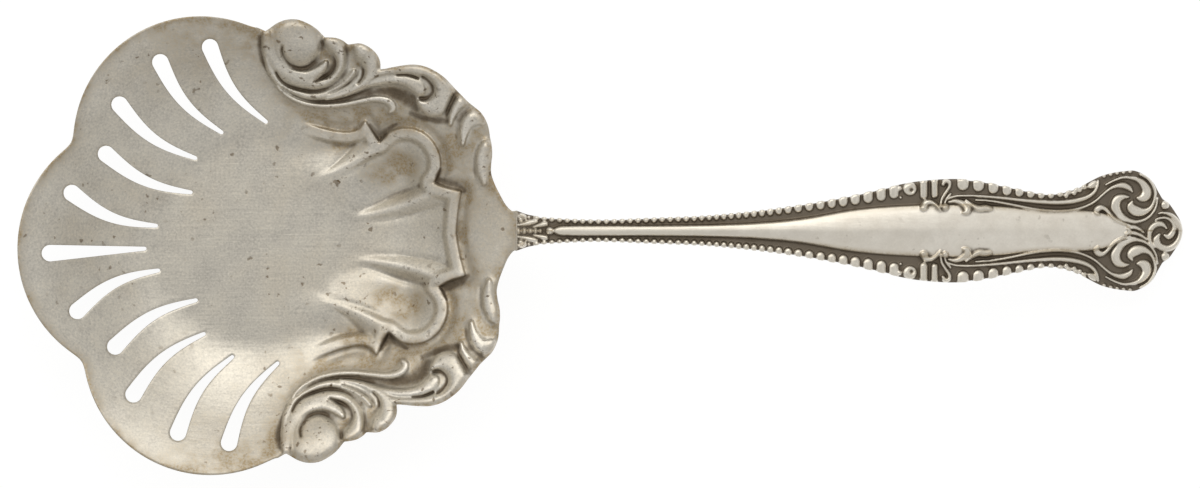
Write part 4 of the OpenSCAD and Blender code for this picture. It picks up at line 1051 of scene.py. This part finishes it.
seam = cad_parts["solder_seam"]
seam.data.materials.clear()
seam.data.materials.append(makeSilver("dulledHardSolder", solderLook))
print("solder dressed")


# Floor, light and camera

# Levels of the sky from below the horizon to overhead, the paper's glow and greys, and the lamp,
# with its size and distances in metres and its height in degrees
studio = {"sky": ((0.0, 0.42), (0.25, 0.588), (0.5, 0.83), (1.0, 0.578)), "glow": 0.9, "bounce": 0.8,
          "shadow": 0.14, "lamp": 1.1, "lampSize": 0.6, "lampFar": 0.66, "lampUp": 48, "lampLeft": 0.1,
          "lampAim": 0.03}

reach, drop = 3.0, 0.00002
floorMesh = bpy.data.meshes.new("floor")
floorMesh.from_pydata([(x * reach, y * reach, -drop) for x, y in ((-1, -1), (1, -1), (1, 1), (-1, 1))],
                      [], [(0, 1, 2, 3)])
floor = addObject("floor", floorMesh)
# White paper, matt. The camera and the silver see it glow, so it looks blank white with a faint
# shadow; other light meets a plain matt white.
paper = bpy.data.materials.new("whitePaperSweep")
tree = emptyTree(paper)
bounce = addNode(tree, "ShaderNodeBsdfDiffuse", in_0=(*[studio["bounce"]] * 3, 1))
shadow = addNode(tree, "ShaderNodeBsdfDiffuse", in_0=(*[studio["shadow"]] * 3, 1))
glow = addNode(tree, "ShaderNodeEmission", in_0=(1, 1, 1, 1), in_1=studio["glow"])
both = addNode(tree, "ShaderNodeAddShader", {0: shadow, 1: glow})
path = tree.nodes.new("ShaderNodeLightPath").outputs
seen = addNode(tree, "ShaderNodeMath", {0: path["Is Camera Ray"], 1: path["Is Glossy Ray"]},
               operation="MAXIMUM")
pick = addNode(tree, "ShaderNodeMixShader", {0: seen, 1: bounce, 2: both})
addNode(tree, "ShaderNodeOutputMaterial", {"Surface": pick})
floorMesh.materials.append(paper)

world = bpy.data.worlds.new("studio")
bpy.context.scene.world = world
tree = emptyTree(world)
way = addNode(tree, "ShaderNodeTexCoord", out="Generated")
way = addNode(tree, "ShaderNodeSeparateXYZ", {"Vector": way}, "Z")
ramp = tree.nodes.new("ShaderNodeValToRGB")
tree.links.new(way, ramp.inputs[0])
while len(ramp.color_ramp.elements) < len(studio["sky"]):
    ramp.color_ramp.elements.new(0.5)
for element, (at, level) in zip(ramp.color_ramp.elements, studio["sky"]):
    element.position = at
    element.color = (level, level * 0.99, level * 0.97, 1)
plain = addNode(tree, "ShaderNodeBackground", {"Color": ramp.outputs[0]})
white = addNode(tree, "ShaderNodeBackground", in_0=(1, 1, 1, 1), in_1=1.0)
seen = addNode(tree, "ShaderNodeLightPath", out="Is Camera Ray")
pick = addNode(tree, "ShaderNodeMixShader", {0: seen, 1: plain, 2: white})
addNode(tree, "ShaderNodeOutputWorld", {"Surface": pick})

lampData = bpy.data.lights.new("softBox", "AREA")
lampData.shape = "RECTANGLE"
lampData.size = studio["lampSize"] * 1.8
lampData.size_y = studio["lampSize"]
lampData.energy = studio["lamp"] * math.pi * lampData.size * lampData.size_y
lampData.color = (1.0, 0.965, 0.9)
lamp = addObject("softBox", lampData)
up = math.radians(studio["lampUp"])
lampAt = Vector((studio["lampAim"] - studio["lampLeft"], studio["lampFar"] * math.cos(up),
                 studio["lampFar"] * math.sin(up)))
lamp.location = lampAt
lamp.rotation_euler = (Vector((studio["lampAim"], 0, 0)) - lampAt).to_track_quat("-Z", "Y").to_euler()

# The photograph looks straight down; its 1200 pixels take in 156 mm at the spoon's middle height
cameraLook = {"lens": 650, "sensor": 36, "width": 156.0, "centre": (43.98, -0.13), "plane": 7.0}
cameraData = bpy.data.cameras.new("fromAbove")
cameraData.lens = cameraLook["lens"]
cameraData.sensor_width = cameraLook["sensor"]
cameraData.clip_end = 20
camera = addObject("fromAbove", cameraData)
away = cameraLook["plane"] + cameraLook["width"] * cameraLook["lens"] / cameraLook["sensor"]
camera.location = [length * mm for length in (*cameraLook["centre"], away)]
bpy.context.scene.camera = camera
bpy.context.scene.view_settings.view_transform = "Standard"

print("studio made")
